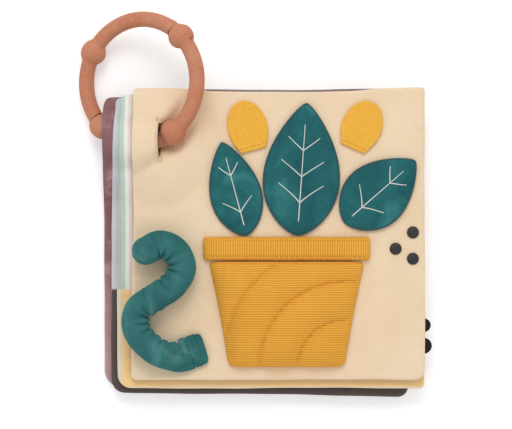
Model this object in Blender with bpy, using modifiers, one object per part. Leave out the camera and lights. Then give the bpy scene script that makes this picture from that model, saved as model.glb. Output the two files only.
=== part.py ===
# Four soft padded cloth cards, threaded by a buttonhole near one corner on an openable plastic ring.
# The set lies on its back card. The cover of the front card is a potted plant in puffed and flat applique.
# Metres, +Z up. The origin is the centre of the back card's underside.

import math
from types import SimpleNamespace

import bmesh
import bpy
from mathutils import Vector

# Clearance between neighbouring pieces, how far a cutter runs past what it cuts, and the weld distance
gap = 0.0003
overrun = 0.0020
weld_distance = 0.00002

# Cloth panels and the wadding between them
panel_thickness = 0.0005
wadding_thickness = 0.0034
edge_roll = 0.0025
card_thickness = wadding_thickness + 2 * (panel_thickness + gap)
card_pitch = card_thickness + gap
pair_thickness = 2 * panel_thickness + gap

# The cards, from the back one to the front one: how wide and high, and how far each is shifted on the last
back_card_width = 0.1672
back_card_height = 0.1630
third_card_width = 0.1628
third_card_height = 0.1633
second_card_width = 0.1680
second_card_height = 0.1623
front_card_width = 0.1604
front_card_height = 0.1609
third_card_shift = (0.0044, 0.0008)
second_card_shift = (0.0036, 0.0027)
front_card_shift = (0.0082, 0.0050)

# Corner radii
tight_corner = 0.0030
soft_corner = 0.0075
wide_corner = 0.0110

# Buttonholes: distance from the card's left edge, half length, and how far the lips gape
slit_inset = 0.0143
slit_half = 0.0102
slit_gape = 0.0008
slit_drop = 0.0307
# The front panel's buttonhole runs a little further at each end than the back panel's
slit_end_shift = 0.0002
# Beside the buttonhole the two panels lie a little further apart
slit_loose = 0.00015
loose_reach = 0.0080

# Round the buttonhole the card has no wadding, and its cloth is drawn up or pressed down by the ring
thin_reach = 0.0240
padded_reach = 0.0340
lift_reach = 0.0340
tent_spread_share = 0.60
lip_slack = 0.0002
strip_slacks = (0.0, 0.0006, 0.0012, 0.0008)
stack_slacks = (0.0, 0.0012, 0.0019, 0.0028)

# The ring: mean radius, the tube, the balls, its tilt (right side high) and where the balls sit
ring_radius = 0.0343
ring_tube = 0.00425
ring_ball = 0.0070
ring_tilt = math.radians(24.5)
ring_offset = 0.0060
hinge_angle = math.radians(44.5)
upper_ball_angle = math.radians(150.5)
clasp_angle = hinge_angle + math.pi
lower_ball_angle = math.radians(-55.5)

# The gate's hinge and clasp
tongue_thickness = 0.0040
pin_radius = 0.0012
pin_length = 0.0112
stud_radius = 0.0016
stud_length = 0.0046

# The pot on the front card: where it lies from the card's centre, its size, puff and skin
pot_place = (0.0040, -0.0440)
pot_height = 0.0580
pot_top_width = 0.0860
pot_bottom_width = 0.0640
pot_puff = 0.0110
pot_skin = 0.0006
quilt_depth = 0.0022
quilt_width = 0.0036
quilt_radii = (0.0260, 0.0470, 0.0680)
rim_width = 0.0920
rim_height = 0.0130
rim_puff = 0.0042
rim_edge = 0.0016

# The leaves: base place across and above the pot's rim, heading, length and width
leaf_thickness = 0.0012
leaf_gap = 0.0006
filling_share = 0.86
left_leaf = (-0.0180, 0.0012, math.radians(105), 0.0520, 0.0280)
middle_leaf = (0.0100, 0.0012, math.radians(86), 0.0720, 0.0420)
right_leaf = (0.0360, 0.0080, math.radians(41), 0.0510, 0.0350)

# The bud flaps: root place across and above the pot's rim, heading, length, width
bud_thickness = 0.0014
left_bud = (-0.0140, 0.0474, math.radians(105), 0.0280, 0.0220)
right_bud = (0.0400, 0.0484, math.radians(66), 0.0280, 0.0220)
root_width_share = 0.62
berry_radius = 0.0033
berry_top_radius = 0.0026
berry_height = 0.0010
berry_places = ((0.0640, -0.0066), (0.0735, 0.0024), (0.0735, -0.0121))

# The stuffed tendril: radius, skin, and its route from the card's centre
tendril_radius = 0.0077
tendril_skin = 0.0006
tendril_route = (
    (-0.0480, -0.0645),
    (-0.0560, -0.0668),
    (-0.0680, -0.0635),
    (-0.0775, -0.0535),
    (-0.0775, -0.0420),
    (-0.0690, -0.0350),
    (-0.0595, -0.0290),
    (-0.0535, -0.0195),
    (-0.0560, -0.0100),
    (-0.0645, -0.0055),
    (-0.0730, -0.0090),
)
tendril_steps = 2
tendril_end_shares = (0.30, 0.72, 0.93)
tendril_hole = 0.0016

# Two half-round felt tabs at the second card's right edge: distance from its bottom edge, and radius
edge_tabs = {"upper_edge_tab": (0.0350, 0.0038), "lower_edge_tab": (0.0236, 0.0044)}
edge_tab_gap = 0.0006
edge_tab_thickness = 0.0012

panel_sides = {"front": 1, "back": -1}


def smooth_step(share):
    share = min(max(share, 0.0), 1.0)
    return share * share * (3 - 2 * share)


# Scene, materials and small helpers

for old in list(bpy.data.objects):
    bpy.data.objects.remove(old, do_unlink=True)
card_set = bpy.data.collections.new("cloth_card_set")
bpy.context.scene.collection.children.link(card_set)
tool_set = bpy.data.collections.new("cutters")
bpy.context.scene.collection.children.link(tool_set)


def make_material(name, colour, roughness):
    material = bpy.data.materials.new(name)
    material.use_nodes = True
    shader = material.node_tree.nodes["Principled BSDF"]
    shader.inputs["Base Color"].default_value = (*colour, 1.0)
    shader.inputs["Roughness"].default_value = roughness
    shader.inputs["Metallic"].default_value = 0.0
    material.diffuse_color = (*colour, 1.0)
    return material


cream_cotton = make_material("cream_cotton", (0.86, 0.66, 0.45), 0.85)
peach_cotton = make_material("peach_cotton", (0.88, 0.51, 0.20), 0.85)
mint_cotton = make_material("mint_cotton", (0.38, 0.62, 0.51), 0.85)
white_cotton = make_material("white_cotton", (0.77, 0.79, 0.75), 0.85)
dark_plum_cotton = make_material("dark_plum_cotton", (0.045, 0.021, 0.021), 0.85)
plum_velour = make_material("plum_velour", (0.147, 0.061, 0.084), 0.80)
wadding_fleece = make_material("wadding_fleece", (0.82, 0.82, 0.80), 0.95)
terracotta_plastic = make_material("terracotta_plastic", (0.58, 0.19, 0.098), 0.50)
pin_steel = make_material("pin_steel", (0.55, 0.55, 0.56), 0.30)
teal_velour = make_material("teal_velour", (0.027, 0.138, 0.150), 0.80)
yellow_corduroy = make_material("yellow_corduroy", (0.78, 0.37, 0.045), 0.85)
yellow_felt = make_material("yellow_felt", (0.87, 0.45, 0.033), 0.90)
white_thread = make_material("white_thread", (0.88, 0.87, 0.82), 0.60)
dark_thread = make_material("dark_thread", (0.012, 0.010, 0.010), 0.60)
black_felt = make_material("black_felt", (0.015, 0.015, 0.016), 0.90)


def make_pivot(name, place, parent=None):
    pivot = bpy.data.objects.new(name, None)
    card_set.objects.link(pivot)
    pivot.location = place
    pivot.parent = parent
    return pivot


def link_object(name, mesh, material, parent, collection=card_set):
    made = bpy.data.objects.new(name, mesh)
    collection.objects.link(made)
    made.parent = parent
    if material is not None:
        mesh.materials.append(material)
    return made


def finish_mesh(bm, name):
    bmesh.ops.recalc_face_normals(bm, faces=bm.faces)
    mesh = bpy.data.meshes.new(name)
    bm.to_mesh(mesh)
    bm.free()
    mesh.shade_smooth()
    mesh.set_sharp_from_angle(angle=math.radians(40))
    return mesh


def combine(target, tool, operation):
    modifier = target.modifiers.new(tool.name, "BOOLEAN")
    modifier.operation = operation
    modifier.object = tool
    modifier.solver = "EXACT"
    tool.hide_render = True
    tool.display_type = "WIRE"
    return modifier


def curve_to_mesh(curve, name):
    # A curve's evaluated shape, with its caps welded on
    holder = bpy.data.objects.new(name + "_curve", curve)
    tool_set.objects.link(holder)
    bpy.context.view_layer.update()
    evaluated = holder.evaluated_get(bpy.context.evaluated_depsgraph_get())
    mesh = bpy.data.meshes.new_from_object(evaluated)
    bpy.data.objects.remove(holder, do_unlink=True)
    bm = bmesh.new()
    bm.from_mesh(mesh)
    bpy.data.meshes.remove(mesh)
    bmesh.ops.remove_doubles(bm, verts=bm.verts, dist=weld_distance)
    return finish_mesh(bm, name)


def tube_curve(name, points, radius, radius_shares=None, resolution=4):
    curve = bpy.data.curves.new(name, "CURVE")
    curve.dimensions = "3D"
    curve.bevel_depth = radius
    curve.bevel_resolution = resolution
    curve.use_fill_caps = True
    spline = curve.splines.new("POLY")
    spline.points.add(len(points) - 1)
    for index, (point, place) in enumerate(zip(spline.points, points)):
        point.co = (*place, 1.0)
        point.radius = radius_shares[index] if radius_shares else 1.0
    return curve


# Where the cards lie

card_names = ("back", "third", "second", "front")
card_widths = (back_card_width, third_card_width, second_card_width, front_card_width)
card_heights = (back_card_height, third_card_height, second_card_height, front_card_height)
card_shifts = ((0.0, 0.0), third_card_shift, second_card_shift, front_card_shift)
# Corner radii go bottom left, bottom right, top left, top right
card_corners = (
    (wide_corner, soft_corner, soft_corner, soft_corner),
    (soft_corner, soft_corner, tight_corner, tight_corner),
    (soft_corner, tight_corner, tight_corner, tight_corner),
    (tight_corner, soft_corner, tight_corner, tight_corner),
)
card_colours = {
    "back": (plum_velour, plum_velour),
    "third": (white_cotton, dark_plum_cotton),
    "second": (mint_cotton, peach_cotton),
    "front": (cream_cotton, white_cotton),
}


cards = {}
left = -back_card_width / 2
bottom = -back_card_height / 2
for level, name in enumerate(card_names):
    card = SimpleNamespace()
    card.name = name
    left += card_shifts[level][0]
    bottom += card_shifts[level][1]
    card.left = left
    card.right = left + card_widths[level]
    card.bottom = bottom
    card.top = bottom + card_heights[level]
    card.corners = card_corners[level]
    card.mid = card_thickness / 2 + level * card_pitch
    card.slit_x = left + slit_inset
    cards[name] = card

# The ring's centre: it passes every buttonhole, and clears the front card's cloth beside its own
front = cards["front"]
ring_x = cards["back"].slit_x + ring_offset
ring_y = front.top - slit_drop + ring_radius
ring_lip = ring_tube / math.cos(ring_tilt) + pair_thickness / 2 + gap + lip_slack
ring_z = front.mid + ring_lip - math.tan(ring_tilt) * (front.slit_x - ring_x)


def ring_level(x):
    return ring_z + math.tan(ring_tilt) * (x - ring_x)


ring_line_end_share = 0.95


def ring_line(x):
    # The lower half of the ring's centreline, seen from above and carried on level at its ends
    share = (x - ring_x) / (ring_radius * math.cos(ring_tilt))
    share = min(max(share, -ring_line_end_share), ring_line_end_share)
    return ring_y - ring_radius * math.sqrt(1 - share * share)


for card, strip_slack, stack_slack in zip(cards.values(), strip_slacks, stack_slacks):
    # The left lip clears the ring, and each card's lips clear those of the card below
    card.slit_y = ring_line(card.slit_x)
    card.rise = ring_level(card.slit_x) + stack_slack - card.mid
    card.strip_lift = ring_lip + strip_slack
    card.press = ring_lip + stack_slack


def edge_inset(height, corner):
    # How far a rounded corner draws an upright edge in, at a height above the card's own edge
    if height >= corner:
        return 0.0
    return corner - math.sqrt(max(corner * corner - (corner - height) ** 2, 0.0))


def left_edge(card, y):
    low = edge_inset(y - card.bottom, card.corners[0])
    return card.left + max(low, edge_inset(card.top - y, card.corners[2]))


def right_edge(card, y):
    low = edge_inset(y - card.bottom, card.corners[1])
    return card.right - max(low, edge_inset(card.top - y, card.corners[3]))


def slit_distance(card, x, y):
    beyond = max(abs(y - card.slit_y) - slit_half, 0.0)
    return math.hypot(x - card.slit_x, beyond)


def lip_profile(share):
    share = min(abs(share), 1.0)
    return (1 - share**3) ** 2


def cloth_level(card, x, y, lip):
    # Height of the card's middle surface; lip is -1 left of the buttonhole and 1 right of it
    near = 1 - smooth_step(slit_distance(card, x, y) / lift_reach)
    away = abs(x - card.slit_x)
    shape = lip_profile((y - ring_line(x)) / (slit_half + tent_spread_share * away))
    if lip > 0:
        return card.mid + near * (card.rise - card.press * shape)
    return card.mid + near * card.rise + card.strip_lift * shape


def edge_distance(card, x, y):
    # How far a place lies inside the card's rounded outline
    inset = min(x - card.left, card.right - x, y - card.bottom, card.top - y)
    corner_places = (
        (x - card.left, y - card.bottom),
        (card.right - x, y - card.bottom),
        (x - card.left, card.top - y),
        (card.right - x, card.top - y),
    )
    for radius, (along, up) in zip(card.corners, corner_places):
        if along < radius and up < radius:
            inset = min(inset, radius - math.hypot(radius - along, radius - up))
    return inset


def padding(card, x, y):
    # 0 where the two panels lie together, 1 where the wadding holds them apart
    reach = (slit_distance(card, x, y) - thin_reach) / (padded_reach - thin_reach)
    roll = 1 - min(max(edge_distance(card, x, y) / edge_roll, 0.0), 1.0)
    return smooth_step(reach) * math.sqrt(max(1 - roll * roll, 0.0))


def panel_offset(card, x, y):
    loose = 1 - smooth_step(slit_distance(card, x, y) / loose_reach)
    together = (gap + panel_thickness) / 2 + slit_loose * loose
    apart = wadding_thickness / 2 + gap + panel_thickness / 2
    return together + (apart - together) * padding(card, x, y)


def cloth_point(card, x, y, lip, offset):
    # A point at a distance square to the card's middle surface
    probe = panel_thickness
    slope_x = 0.0
    if abs(x - card.slit_x) > slit_gape + probe:
        rise = cloth_level(card, x + probe, y, lip) - cloth_level(card, x - probe, y, lip)
        slope_x = rise / (2 * probe)
    rise = cloth_level(card, x, y + probe, lip) - cloth_level(card, x, y - probe, lip)
    slope_y = rise / (2 * probe)
    normal = Vector((-slope_x, -slope_y, 1.0)).normalized()
    return Vector((x, y, cloth_level(card, x, y, lip))) + normal * offset


# Grid lines of a card's cloth, close together round the buttonhole
near_column_shares = (0.0, 0.11, 0.25, 0.45, 0.70, 1.0)
slit_row_shares = (-1.0, -0.85, -0.62, -0.30, 0.0, 0.30, 0.62, 0.85, 1.0)
below_row_shares = (1.0, 0.70, 0.44, 0.18)
thinnest_wadding = wadding_thickness / 4


def column_lines(card):
    # Each line is a share of the way from the left edge to the buttonhole, or past it to the right edge
    inner = 1 - edge_roll / slit_inset
    before = [-1.0, -inner, -inner / 2]
    span = card.right - card.slit_x
    after = [share * padded_reach / span for share in near_column_shares]
    last = (span - edge_roll) / span
    return before + after + [(after[-1] + last) / 2, last, 1.0]


def row_lines(card):
    widest = max(card.corners[0], card.corners[1])
    low = card.slit_y - slit_half
    far = low - padded_reach
    rows = [card.bottom, card.bottom + edge_roll, card.bottom + widest]
    rows.append((rows[-1] + far) / 2)
    rows += [low - share * padded_reach for share in below_row_shares]
    rows += [card.slit_y + share * slit_half for share in slit_row_shares]
    high = card.slit_y + slit_half
    last = card.top - edge_roll
    rows += [(high + last) / 2, last, card.top]
    return rows


def cloth_grid(card, end_shift=0.0):
    # A flat grid with its lines at the card's own places, split along the buttonhole.
    # Returns the mesh and, for each vertex, its plan place and lip.
    columns = column_lines(card)
    rows = row_lines(card)
    column_count = len(columns) - 1
    row_count = len(rows) - 1
    slit_column = columns.index(0.0)
    slit_first = rows.index(card.slit_y + slit_row_shares[0] * slit_half)
    slit_last = slit_first + len(slit_row_shares) - 1
    bm = bmesh.new()
    bmesh.ops.create_grid(bm, x_segments=column_count, y_segments=row_count, size=1.0)

    def indices(co):
        return (round((co.x + 1) / 2 * column_count), round((co.y + 1) / 2 * row_count))

    cut = []
    for edge in bm.edges:
        ends = [indices(vert.co) for vert in edge.verts]
        upright = all(column == slit_column for column, row in ends)
        if upright and all(slit_first <= row <= slit_last for column, row in ends):
            cut.append(edge)
    bmesh.ops.split_edges(bm, edges=cut)
    places = {}
    for vert in bm.verts:
        column, row = indices(vert.co)
        y = rows[row]
        share = columns[column]
        centre_x = sum(face.calc_center_median().x for face in vert.link_faces) / len(vert.link_faces)
        lip = -1 if centre_x < vert.co.x else 1
        if column != slit_column:
            lip = -1 if share < 0 else 1
        if share < 0:
            x = card.slit_x + share * (card.slit_x - left_edge(card, y))
        else:
            x = card.slit_x + share * (right_edge(card, y) - card.slit_x)
        if column == slit_column and slit_first < row < slit_last:
            x += lip * slit_gape * math.sqrt(1 - ((y - card.slit_y) / slit_half) ** 2)
        if column == slit_column and row in (slit_first, slit_last):
            y += end_shift if row == slit_last else -end_shift
        places[vert] = (x, y, lip)
    return bm, places


def build_panel(card, side):
    sign = panel_sides[side]
    bm, places = cloth_grid(card, sign * slit_end_shift)
    for vert, (x, y, lip) in places.items():
        vert.co = cloth_point(card, x, y, lip, sign * panel_offset(card, x, y)) - card.pivot_place
    mesh = finish_mesh(bm, f"{card.name}_card_{side}_panel")
    panel = link_object(mesh.name, mesh, card_colours[card.name][0 if sign > 0 else 1], card.pivot)
    shell = panel.modifiers.new("cloth", "SOLIDIFY")
    shell.thickness = panel_thickness
    shell.offset = 0.0
    return panel


def build_wadding(card):
    # The part of the same grid where the panels stand apart, filled to a clearance under each panel
    bm, places = cloth_grid(card)
    inside = panel_thickness / 2 + gap

    def half_height(vert):
        x, y, lip = places[vert]
        return panel_offset(card, x, y) - inside

    def covered(vert):
        x, y, lip = places[vert]
        past_roll = edge_distance(card, x, y) > edge_roll - weld_distance
        return past_roll and half_height(vert) > thinnest_wadding

    empty = [face for face in bm.faces if not all(covered(vert) for vert in face.verts)]
    bmesh.ops.delete(bm, geom=empty, context="FACES")
    places = {vert: places[vert] for vert in bm.verts}
    halves = {vert: half_height(vert) for vert in bm.verts}
    upper = {vert: cloth_point(card, *places[vert], halves[vert]) - card.pivot_place for vert in bm.verts}
    lower = {vert: cloth_point(card, *places[vert], -halves[vert]) - card.pivot_place for vert in bm.verts}
    for vert, place in upper.items():
        vert.co = place
    tops = list(bm.verts)
    made = bmesh.ops.extrude_face_region(bm, geom=list(bm.faces), use_keep_orig=True)
    copies = [item for item in made["geom"] if isinstance(item, bmesh.types.BMVert)]
    below = {tuple(vert.co): lower[vert] for vert in tops}
    for vert in copies:
        vert.co = below[tuple(vert.co)]
    mesh = finish_mesh(bm, f"{card.name}_card_wadding")
    return link_object(mesh.name, mesh, wadding_fleece, card.pivot)


for card in cards.values():
    card.pivot_place = Vector((card.slit_x, card.slit_y, 0.0))
    card.pivot = make_pivot(f"{card.name}_card_pivot", card.pivot_place)
    for side in panel_sides:
        build_panel(card, side)
    build_wadding(card)


# The ring, built flat round its own centre and then tilted

ring_frame = make_pivot("ring_frame", (ring_x, ring_y, ring_z))
ring_frame.rotation_euler.y = -ring_tilt
arc_steps = 16
ball_segments = 16
ball_rings = 8
fine_segments = 20
coarse_segments = 12


def ring_place(angle):
    return Vector((ring_radius * math.cos(angle), ring_radius * math.sin(angle), 0.0))


def ring_direction(angle):
    return Vector((-math.sin(angle), math.cos(angle), 0.0))


def ring_tube_object(name, start, end, pivot):
    centre = pivot.location if pivot is not ring_frame else Vector()
    points = []
    for step in range(arc_steps + 1):
        points.append(ring_place(start + (end - start) * step / arc_steps) - centre)
    mesh = curve_to_mesh(tube_curve(name, points, ring_tube, resolution=3), name)
    return link_object(name, mesh, terracotta_plastic, pivot)


def ball_object(name, angle, radius):
    bm = bmesh.new()
    bmesh.ops.create_uvsphere(bm, u_segments=ball_segments, v_segments=ball_rings, radius=radius)
    ball = link_object(name, finish_mesh(bm, name), None, ring_frame, tool_set)
    ball.location = ring_place(angle)
    # Turned so that no edge of the ball lies in the plane where the tube ends
    ball.rotation_euler.z = angle + math.pi / ball_segments
    return ball


def cylinder_object(name, radius, length, place, segments=fine_segments, collection=tool_set):
    bm = bmesh.new()
    bmesh.ops.create_cone(
        bm, cap_ends=True, segments=segments, radius1=radius, radius2=radius, depth=length
    )
    made = link_object(name, finish_mesh(bm, name), None, ring_frame, collection)
    made.location = place
    return made


hinge_place = ring_place(hinge_angle)
clasp_place = ring_place(clasp_angle)
slot_thickness = tongue_thickness + 2 * gap
knuckle_reach = ring_ball + gap
socket_depth = stud_length + 2 * gap
clasp_inward = ring_direction(clasp_angle)
clasp_face = clasp_place - clasp_inward * ring_ball

# The half that carries the cards: the hinge's fork round a moulded-in pin, the tube, a ball, and the clasp
# ball with its socket
carrier = ring_tube_object("ring_card_half", hinge_angle, clasp_angle - 2 * math.pi, ring_frame)
combine(carrier, ball_object("hinge_ball", hinge_angle, ring_ball), "UNION")
combine(carrier, ball_object("lower_ball", lower_ball_angle, ring_ball), "UNION")
combine(carrier, ball_object("clasp_ball", clasp_angle, ring_ball), "UNION")
fork_slot = cylinder_object("fork_slot", knuckle_reach, slot_thickness, hinge_place, 2 * ball_segments)
combine(carrier, fork_slot, "DIFFERENCE")
fork_hole = cylinder_object("fork_pin_hole", pin_radius + gap, pin_length + 2 * gap, hinge_place)
combine(carrier, fork_hole, "DIFFERENCE")
socket_place = clasp_face + clasp_inward * (socket_depth - overrun) / 2
socket = cylinder_object("stud_socket", stud_radius + gap, socket_depth + overrun, socket_place)
socket.rotation_euler = (-math.pi / 2, 0.0, clasp_angle)
combine(carrier, socket, "DIFFERENCE")

# The gate: tongue, neck, tube, a ball, and the stud
gate_pivot = make_pivot("ring_gate_pivot", hinge_place, ring_frame)
gate = ring_tube_object("ring_gate", hinge_angle, clasp_angle, gate_pivot)
combine(gate, ball_object("hinge_clearance", hinge_angle, knuckle_reach), "DIFFERENCE")
combine(gate, ball_object("clasp_clearance", clasp_angle, knuckle_reach), "DIFFERENCE")
combine(gate, ball_object("upper_ball", upper_ball_angle, ring_ball), "UNION")
tongue = cylinder_object("tongue", ring_ball - gap, tongue_thickness, hinge_place, 2 * ball_segments)
combine(gate, tongue, "UNION")
neck_length = knuckle_reach + overrun
neck_middle = hinge_place + ring_direction(hinge_angle) * neck_length / 2
bm = bmesh.new()
bmesh.ops.create_cube(bm, size=1.0)
bmesh.ops.scale(bm, vec=(2 * pin_radius + tongue_thickness, neck_length, tongue_thickness), verts=bm.verts)
neck = link_object("tongue_neck", finish_mesh(bm, "tongue_neck"), None, ring_frame, tool_set)
neck.location = neck_middle
neck.rotation_euler.z = hinge_angle
combine(gate, neck, "UNION")
tongue_hole = cylinder_object("tongue_pin_hole", pin_radius + gap, 2 * ring_ball, hinge_place)
combine(gate, tongue_hole, "DIFFERENCE")
stud_place = clasp_face + clasp_inward * (stud_length - overrun) / 2
stud = cylinder_object("gate_stud", stud_radius, stud_length + overrun, stud_place)
stud.rotation_euler = (-math.pi / 2, 0.0, clasp_angle)
combine(gate, stud, "UNION")

hinge_pin = cylinder_object("ring_hinge_pin", pin_radius, pin_length, hinge_place, collection=card_set)
hinge_pin.data.materials.append(pin_steel)


# The cover design, laid on the front card

front = cards["front"]
face_level = front.mid + card_thickness / 2 + gap
face_centre = Vector(((front.left + front.right) / 2, (front.bottom + front.top) / 2, face_level))
face_shift = face_centre - front.pivot_place


def on_face(x, y, z=0.0):
    return face_shift + Vector((x, y, z))


def flat_shape(name, outline, thickness, material, parent, place):
    # A flat piece with an outline of plain points and its underside at a place
    curve = bpy.data.curves.new(name, "CURVE")
    curve.dimensions = "2D"
    curve.fill_mode = "BOTH"
    curve.extrude = thickness / 2
    spline = curve.splines.new("POLY")
    spline.points.add(len(outline) - 1)
    for point, (x, y) in zip(spline.points, outline):
        point.co = (x, y, 0.0, 1.0)
    spline.use_cyclic_u = True
    mesh = curve_to_mesh(curve, name)
    shape = link_object(name, mesh, material, parent)
    shape.location = Vector(place) + Vector((0.0, 0.0, thickness / 2))
    return shape


leaf_steps = 12
leaf_lean = 0.80
rim_top = pot_place[1] + pot_height / 2 + leaf_gap + rim_height
leaf_fullness = 0.75


def leaf_half_width(share, width):
    # A leaf is widest a little before its middle and pointed at both ends
    if not 0 < share < 1:
        return 0.0
    return width / 2 * math.sin(math.pi * share**leaf_lean) ** leaf_fullness


def leaf_outline(base_x, base_lift, heading, length, width):
    base = Vector((base_x, rim_top + base_lift))
    along = Vector((math.cos(heading), math.sin(heading)))
    across = Vector((-along.y, along.x))
    shares = [step / leaf_steps for step in range(leaf_steps + 1)]
    right_side = [base + along * length * t - across * leaf_half_width(t, width) for t in shares]
    left_side = [base + along * length * t + across * leaf_half_width(t, width) for t in shares[1:-1]]
    return right_side + left_side[::-1]


leaves = {"left_leaf": left_leaf, "middle_leaf": middle_leaf, "right_leaf": right_leaf}
for leaf_name, leaf_sizes in leaves.items():
    outline = leaf_outline(*leaf_sizes)
    flat_shape(leaf_name, outline, leaf_thickness, teal_velour, front.pivot, on_face(0.0, 0.0))

# The bud flaps hinge along their roots
buds = {"left_bud_flap": left_bud, "right_bud_flap": right_bud}
bud_steps = 9
bud_shoulder_share = 0.45
bud_tip_share = 1 - bud_shoulder_share
for bud_name, (root_x, root_lift, heading, length, width) in buds.items():
    bud_pivot = make_pivot(f"{bud_name}_pivot", on_face(root_x, rim_top + root_lift), front.pivot)
    bud_pivot.rotation_euler.z = heading
    sweep = [math.pi * step / bud_steps - math.pi / 2 for step in range(bud_steps + 1)]
    outline = [(0.0, -width / 2 * root_width_share)]
    for turn in sweep:
        reach = bud_shoulder_share + bud_tip_share * math.cos(turn)
        outline.append((length * reach, width / 2 * math.sin(turn)))
    outline.append((0.0, width / 2 * root_width_share))
    flat_shape(bud_name, outline, bud_thickness, yellow_felt, bud_pivot, Vector())

berry_segments = 16
for number, (x, lift) in enumerate(berry_places, 1):
    bm = bmesh.new()
    bmesh.ops.create_cone(
        bm,
        cap_ends=True,
        segments=berry_segments,
        radius1=berry_radius,
        radius2=berry_top_radius,
        depth=berry_height,
    )
    berry_name = f"berry_dot_{number}"
    berry = link_object(berry_name, finish_mesh(bm, berry_name), dark_thread, front.pivot)
    berry.location = on_face(x, rim_top + lift, berry_height / 2)


# The pot: a puffed skin, open where it is sewn down, over a filling

def pot_half_width(v):
    return (pot_bottom_width + (pot_top_width - pot_bottom_width) * (v + 1) / 2) / 2


def pot_puff_level(u, v):
    return pot_puff * math.sqrt(max((1 - u**4) * (1 - v**4), 0.0))


def quilt_drop(x, y):
    # Sewn channels: arcs round the pot's lower right corner
    corner = Vector((pot_bottom_width / 2, -pot_height / 2))
    distance = (Vector((x, y)) - corner).length
    nearest = min(abs(distance - radius) for radius in quilt_radii)
    return quilt_depth * math.exp(-((nearest / (quilt_width / 2)) ** 2))


def pot_place_at(u, v):
    return u * pot_half_width(v), v * pot_height / 2


pot_columns = 20
pot_rows = 14
bm = bmesh.new()
bmesh.ops.create_grid(bm, x_segments=pot_columns, y_segments=pot_rows, size=1.0)
for vert in bm.verts:
    u, v = vert.co.x, vert.co.y
    x, y = pot_place_at(u, v)
    puff = pot_puff_level(u, v)
    vert.co = (x, y, pot_skin / 2 + puff - quilt_drop(x, y) * min(puff / quilt_depth / 2, 1.0))
pot_cover = link_object("pot_cover", finish_mesh(bm, "pot_cover"), yellow_corduroy, front.pivot)
pot_cover.location = on_face(*pot_place)
skin = pot_cover.modifiers.new("skin", "SOLIDIFY")
skin.thickness = pot_skin
skin.offset = 0.0

bm = bmesh.new()
bmesh.ops.create_grid(bm, x_segments=pot_columns // 2, y_segments=pot_rows // 2, size=1.0)
for vert in bm.verts:
    u, v = vert.co.x, vert.co.y
    x, y = pot_place_at(u, v)
    puff = pot_puff_level(u, v) - quilt_depth - pot_skin
    vert.co = (x * filling_share, y * filling_share, max(puff, pot_skin) * filling_share)
made = bmesh.ops.extrude_face_region(bm, geom=list(bm.faces), use_keep_orig=True)
for item in made["geom"]:
    if isinstance(item, bmesh.types.BMVert):
        item.co.z = 0.0
pot_filling = link_object("pot_filling", finish_mesh(bm, "pot_filling"), wadding_fleece, front.pivot)
pot_filling.location = on_face(*pot_place)

bm = bmesh.new()
bmesh.ops.create_cube(bm, size=1.0)
bmesh.ops.scale(bm, vec=(rim_width, rim_height, rim_puff), verts=bm.verts)
rim = link_object("pot_rim_band", finish_mesh(bm, "pot_rim_band"), yellow_corduroy, front.pivot)
rim_y = pot_place[1] + (pot_height + rim_height) / 2 + leaf_gap
rim.location = on_face(pot_place[0], rim_y, rim_puff / 2)
rounding = rim.modifiers.new("edge", "BEVEL")
rounding.width = rim_edge
rounding.segments = 2


# The tendril: a stuffed tube whose sleeve has a small turning hole underneath

def through(points, steps):
    # A smooth curve through points, with even steps between each two
    smooth = []
    ends = [points[0] * 2 - points[1]] + points + [points[-1] * 2 - points[-2]]
    for a, b, c, d in zip(ends, ends[1:], ends[2:], ends[3:]):
        for step in range(steps):
            t = step / steps
            bend = (2 * a - 5 * b + 4 * c - d) * t * t
            sway = (3 * b - a - 3 * c + d) * t**3
            smooth.append((2 * b + (c - a) * t + bend + sway) / 2)
    return smooth + [points[-1]]


def rounded_ends(points, radius):
    # Adds points beyond both ends so that a tube of this radius closes in a round nose
    shares = tendril_end_shares
    first = (points[0] - points[1]).normalized()
    last = (points[-1] - points[-2]).normalized()
    reach = [radius * math.sqrt(1 - share * share) for share in shares]
    nose = [points[0] + first * step for step in reach]
    tail = [points[-1] + last * step for step in reversed(reach)]
    return nose + points + tail, list(shares) + [1.0] * len(points) + list(reversed(shares))


route = through([Vector((x, y, 0.0)) for x, y in tendril_route], tendril_steps)
tendril_root = on_face(*tendril_route[0], tendril_radius)
tendril_pivot = make_pivot("tendril_pivot", tendril_root, front.pivot)
local_route = [place - route[0] for place in route]


def tendril_tube(name, radius, material, parent, collection=card_set):
    points, shares = rounded_ends(local_route, radius)
    mesh = curve_to_mesh(tube_curve(name, points, radius, shares, 2), name)
    return link_object(name, mesh, material, parent, collection)


sleeve = tendril_tube("tendril_sleeve", tendril_radius, teal_velour, tendril_pivot)
hollow = tendril_tube("tendril_hollow", tendril_radius - tendril_skin, None, tendril_pivot, tool_set)
combine(sleeve, hollow, "DIFFERENCE")
hole = cylinder_object("turning_hole", tendril_hole, tendril_radius, Vector(), coarse_segments)
hole.parent = tendril_pivot
hole.location = local_route[tendril_steps] - Vector((0.0, 0.0, tendril_radius))
combine(sleeve, hole, "DIFFERENCE")
tendril_tube("tendril_filling", tendril_radius - tendril_skin - gap, wadding_fleece, tendril_pivot)


# The felt tabs in the second card's right edge

second = cards["second"]
tab_level = second.mid - edge_tab_thickness / 2
tab_steps = 10
tab_turns = [math.pi * step / tab_steps - math.pi / 2 for step in range(tab_steps + 1)]
for tab_name, (height, radius) in edge_tabs.items():
    outline = [(radius * math.cos(turn), radius * math.sin(turn)) for turn in tab_turns]
    tab_place = Vector((second.right + edge_tab_gap, second.bottom + height, tab_level)) - second.pivot_place
    flat_shape(tab_name, outline, edge_tab_thickness, black_felt, second.pivot, tab_place)
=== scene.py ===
import math

import bmesh
import bpy
import numpy as np
from mathutils import Matrix, Vector


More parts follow.
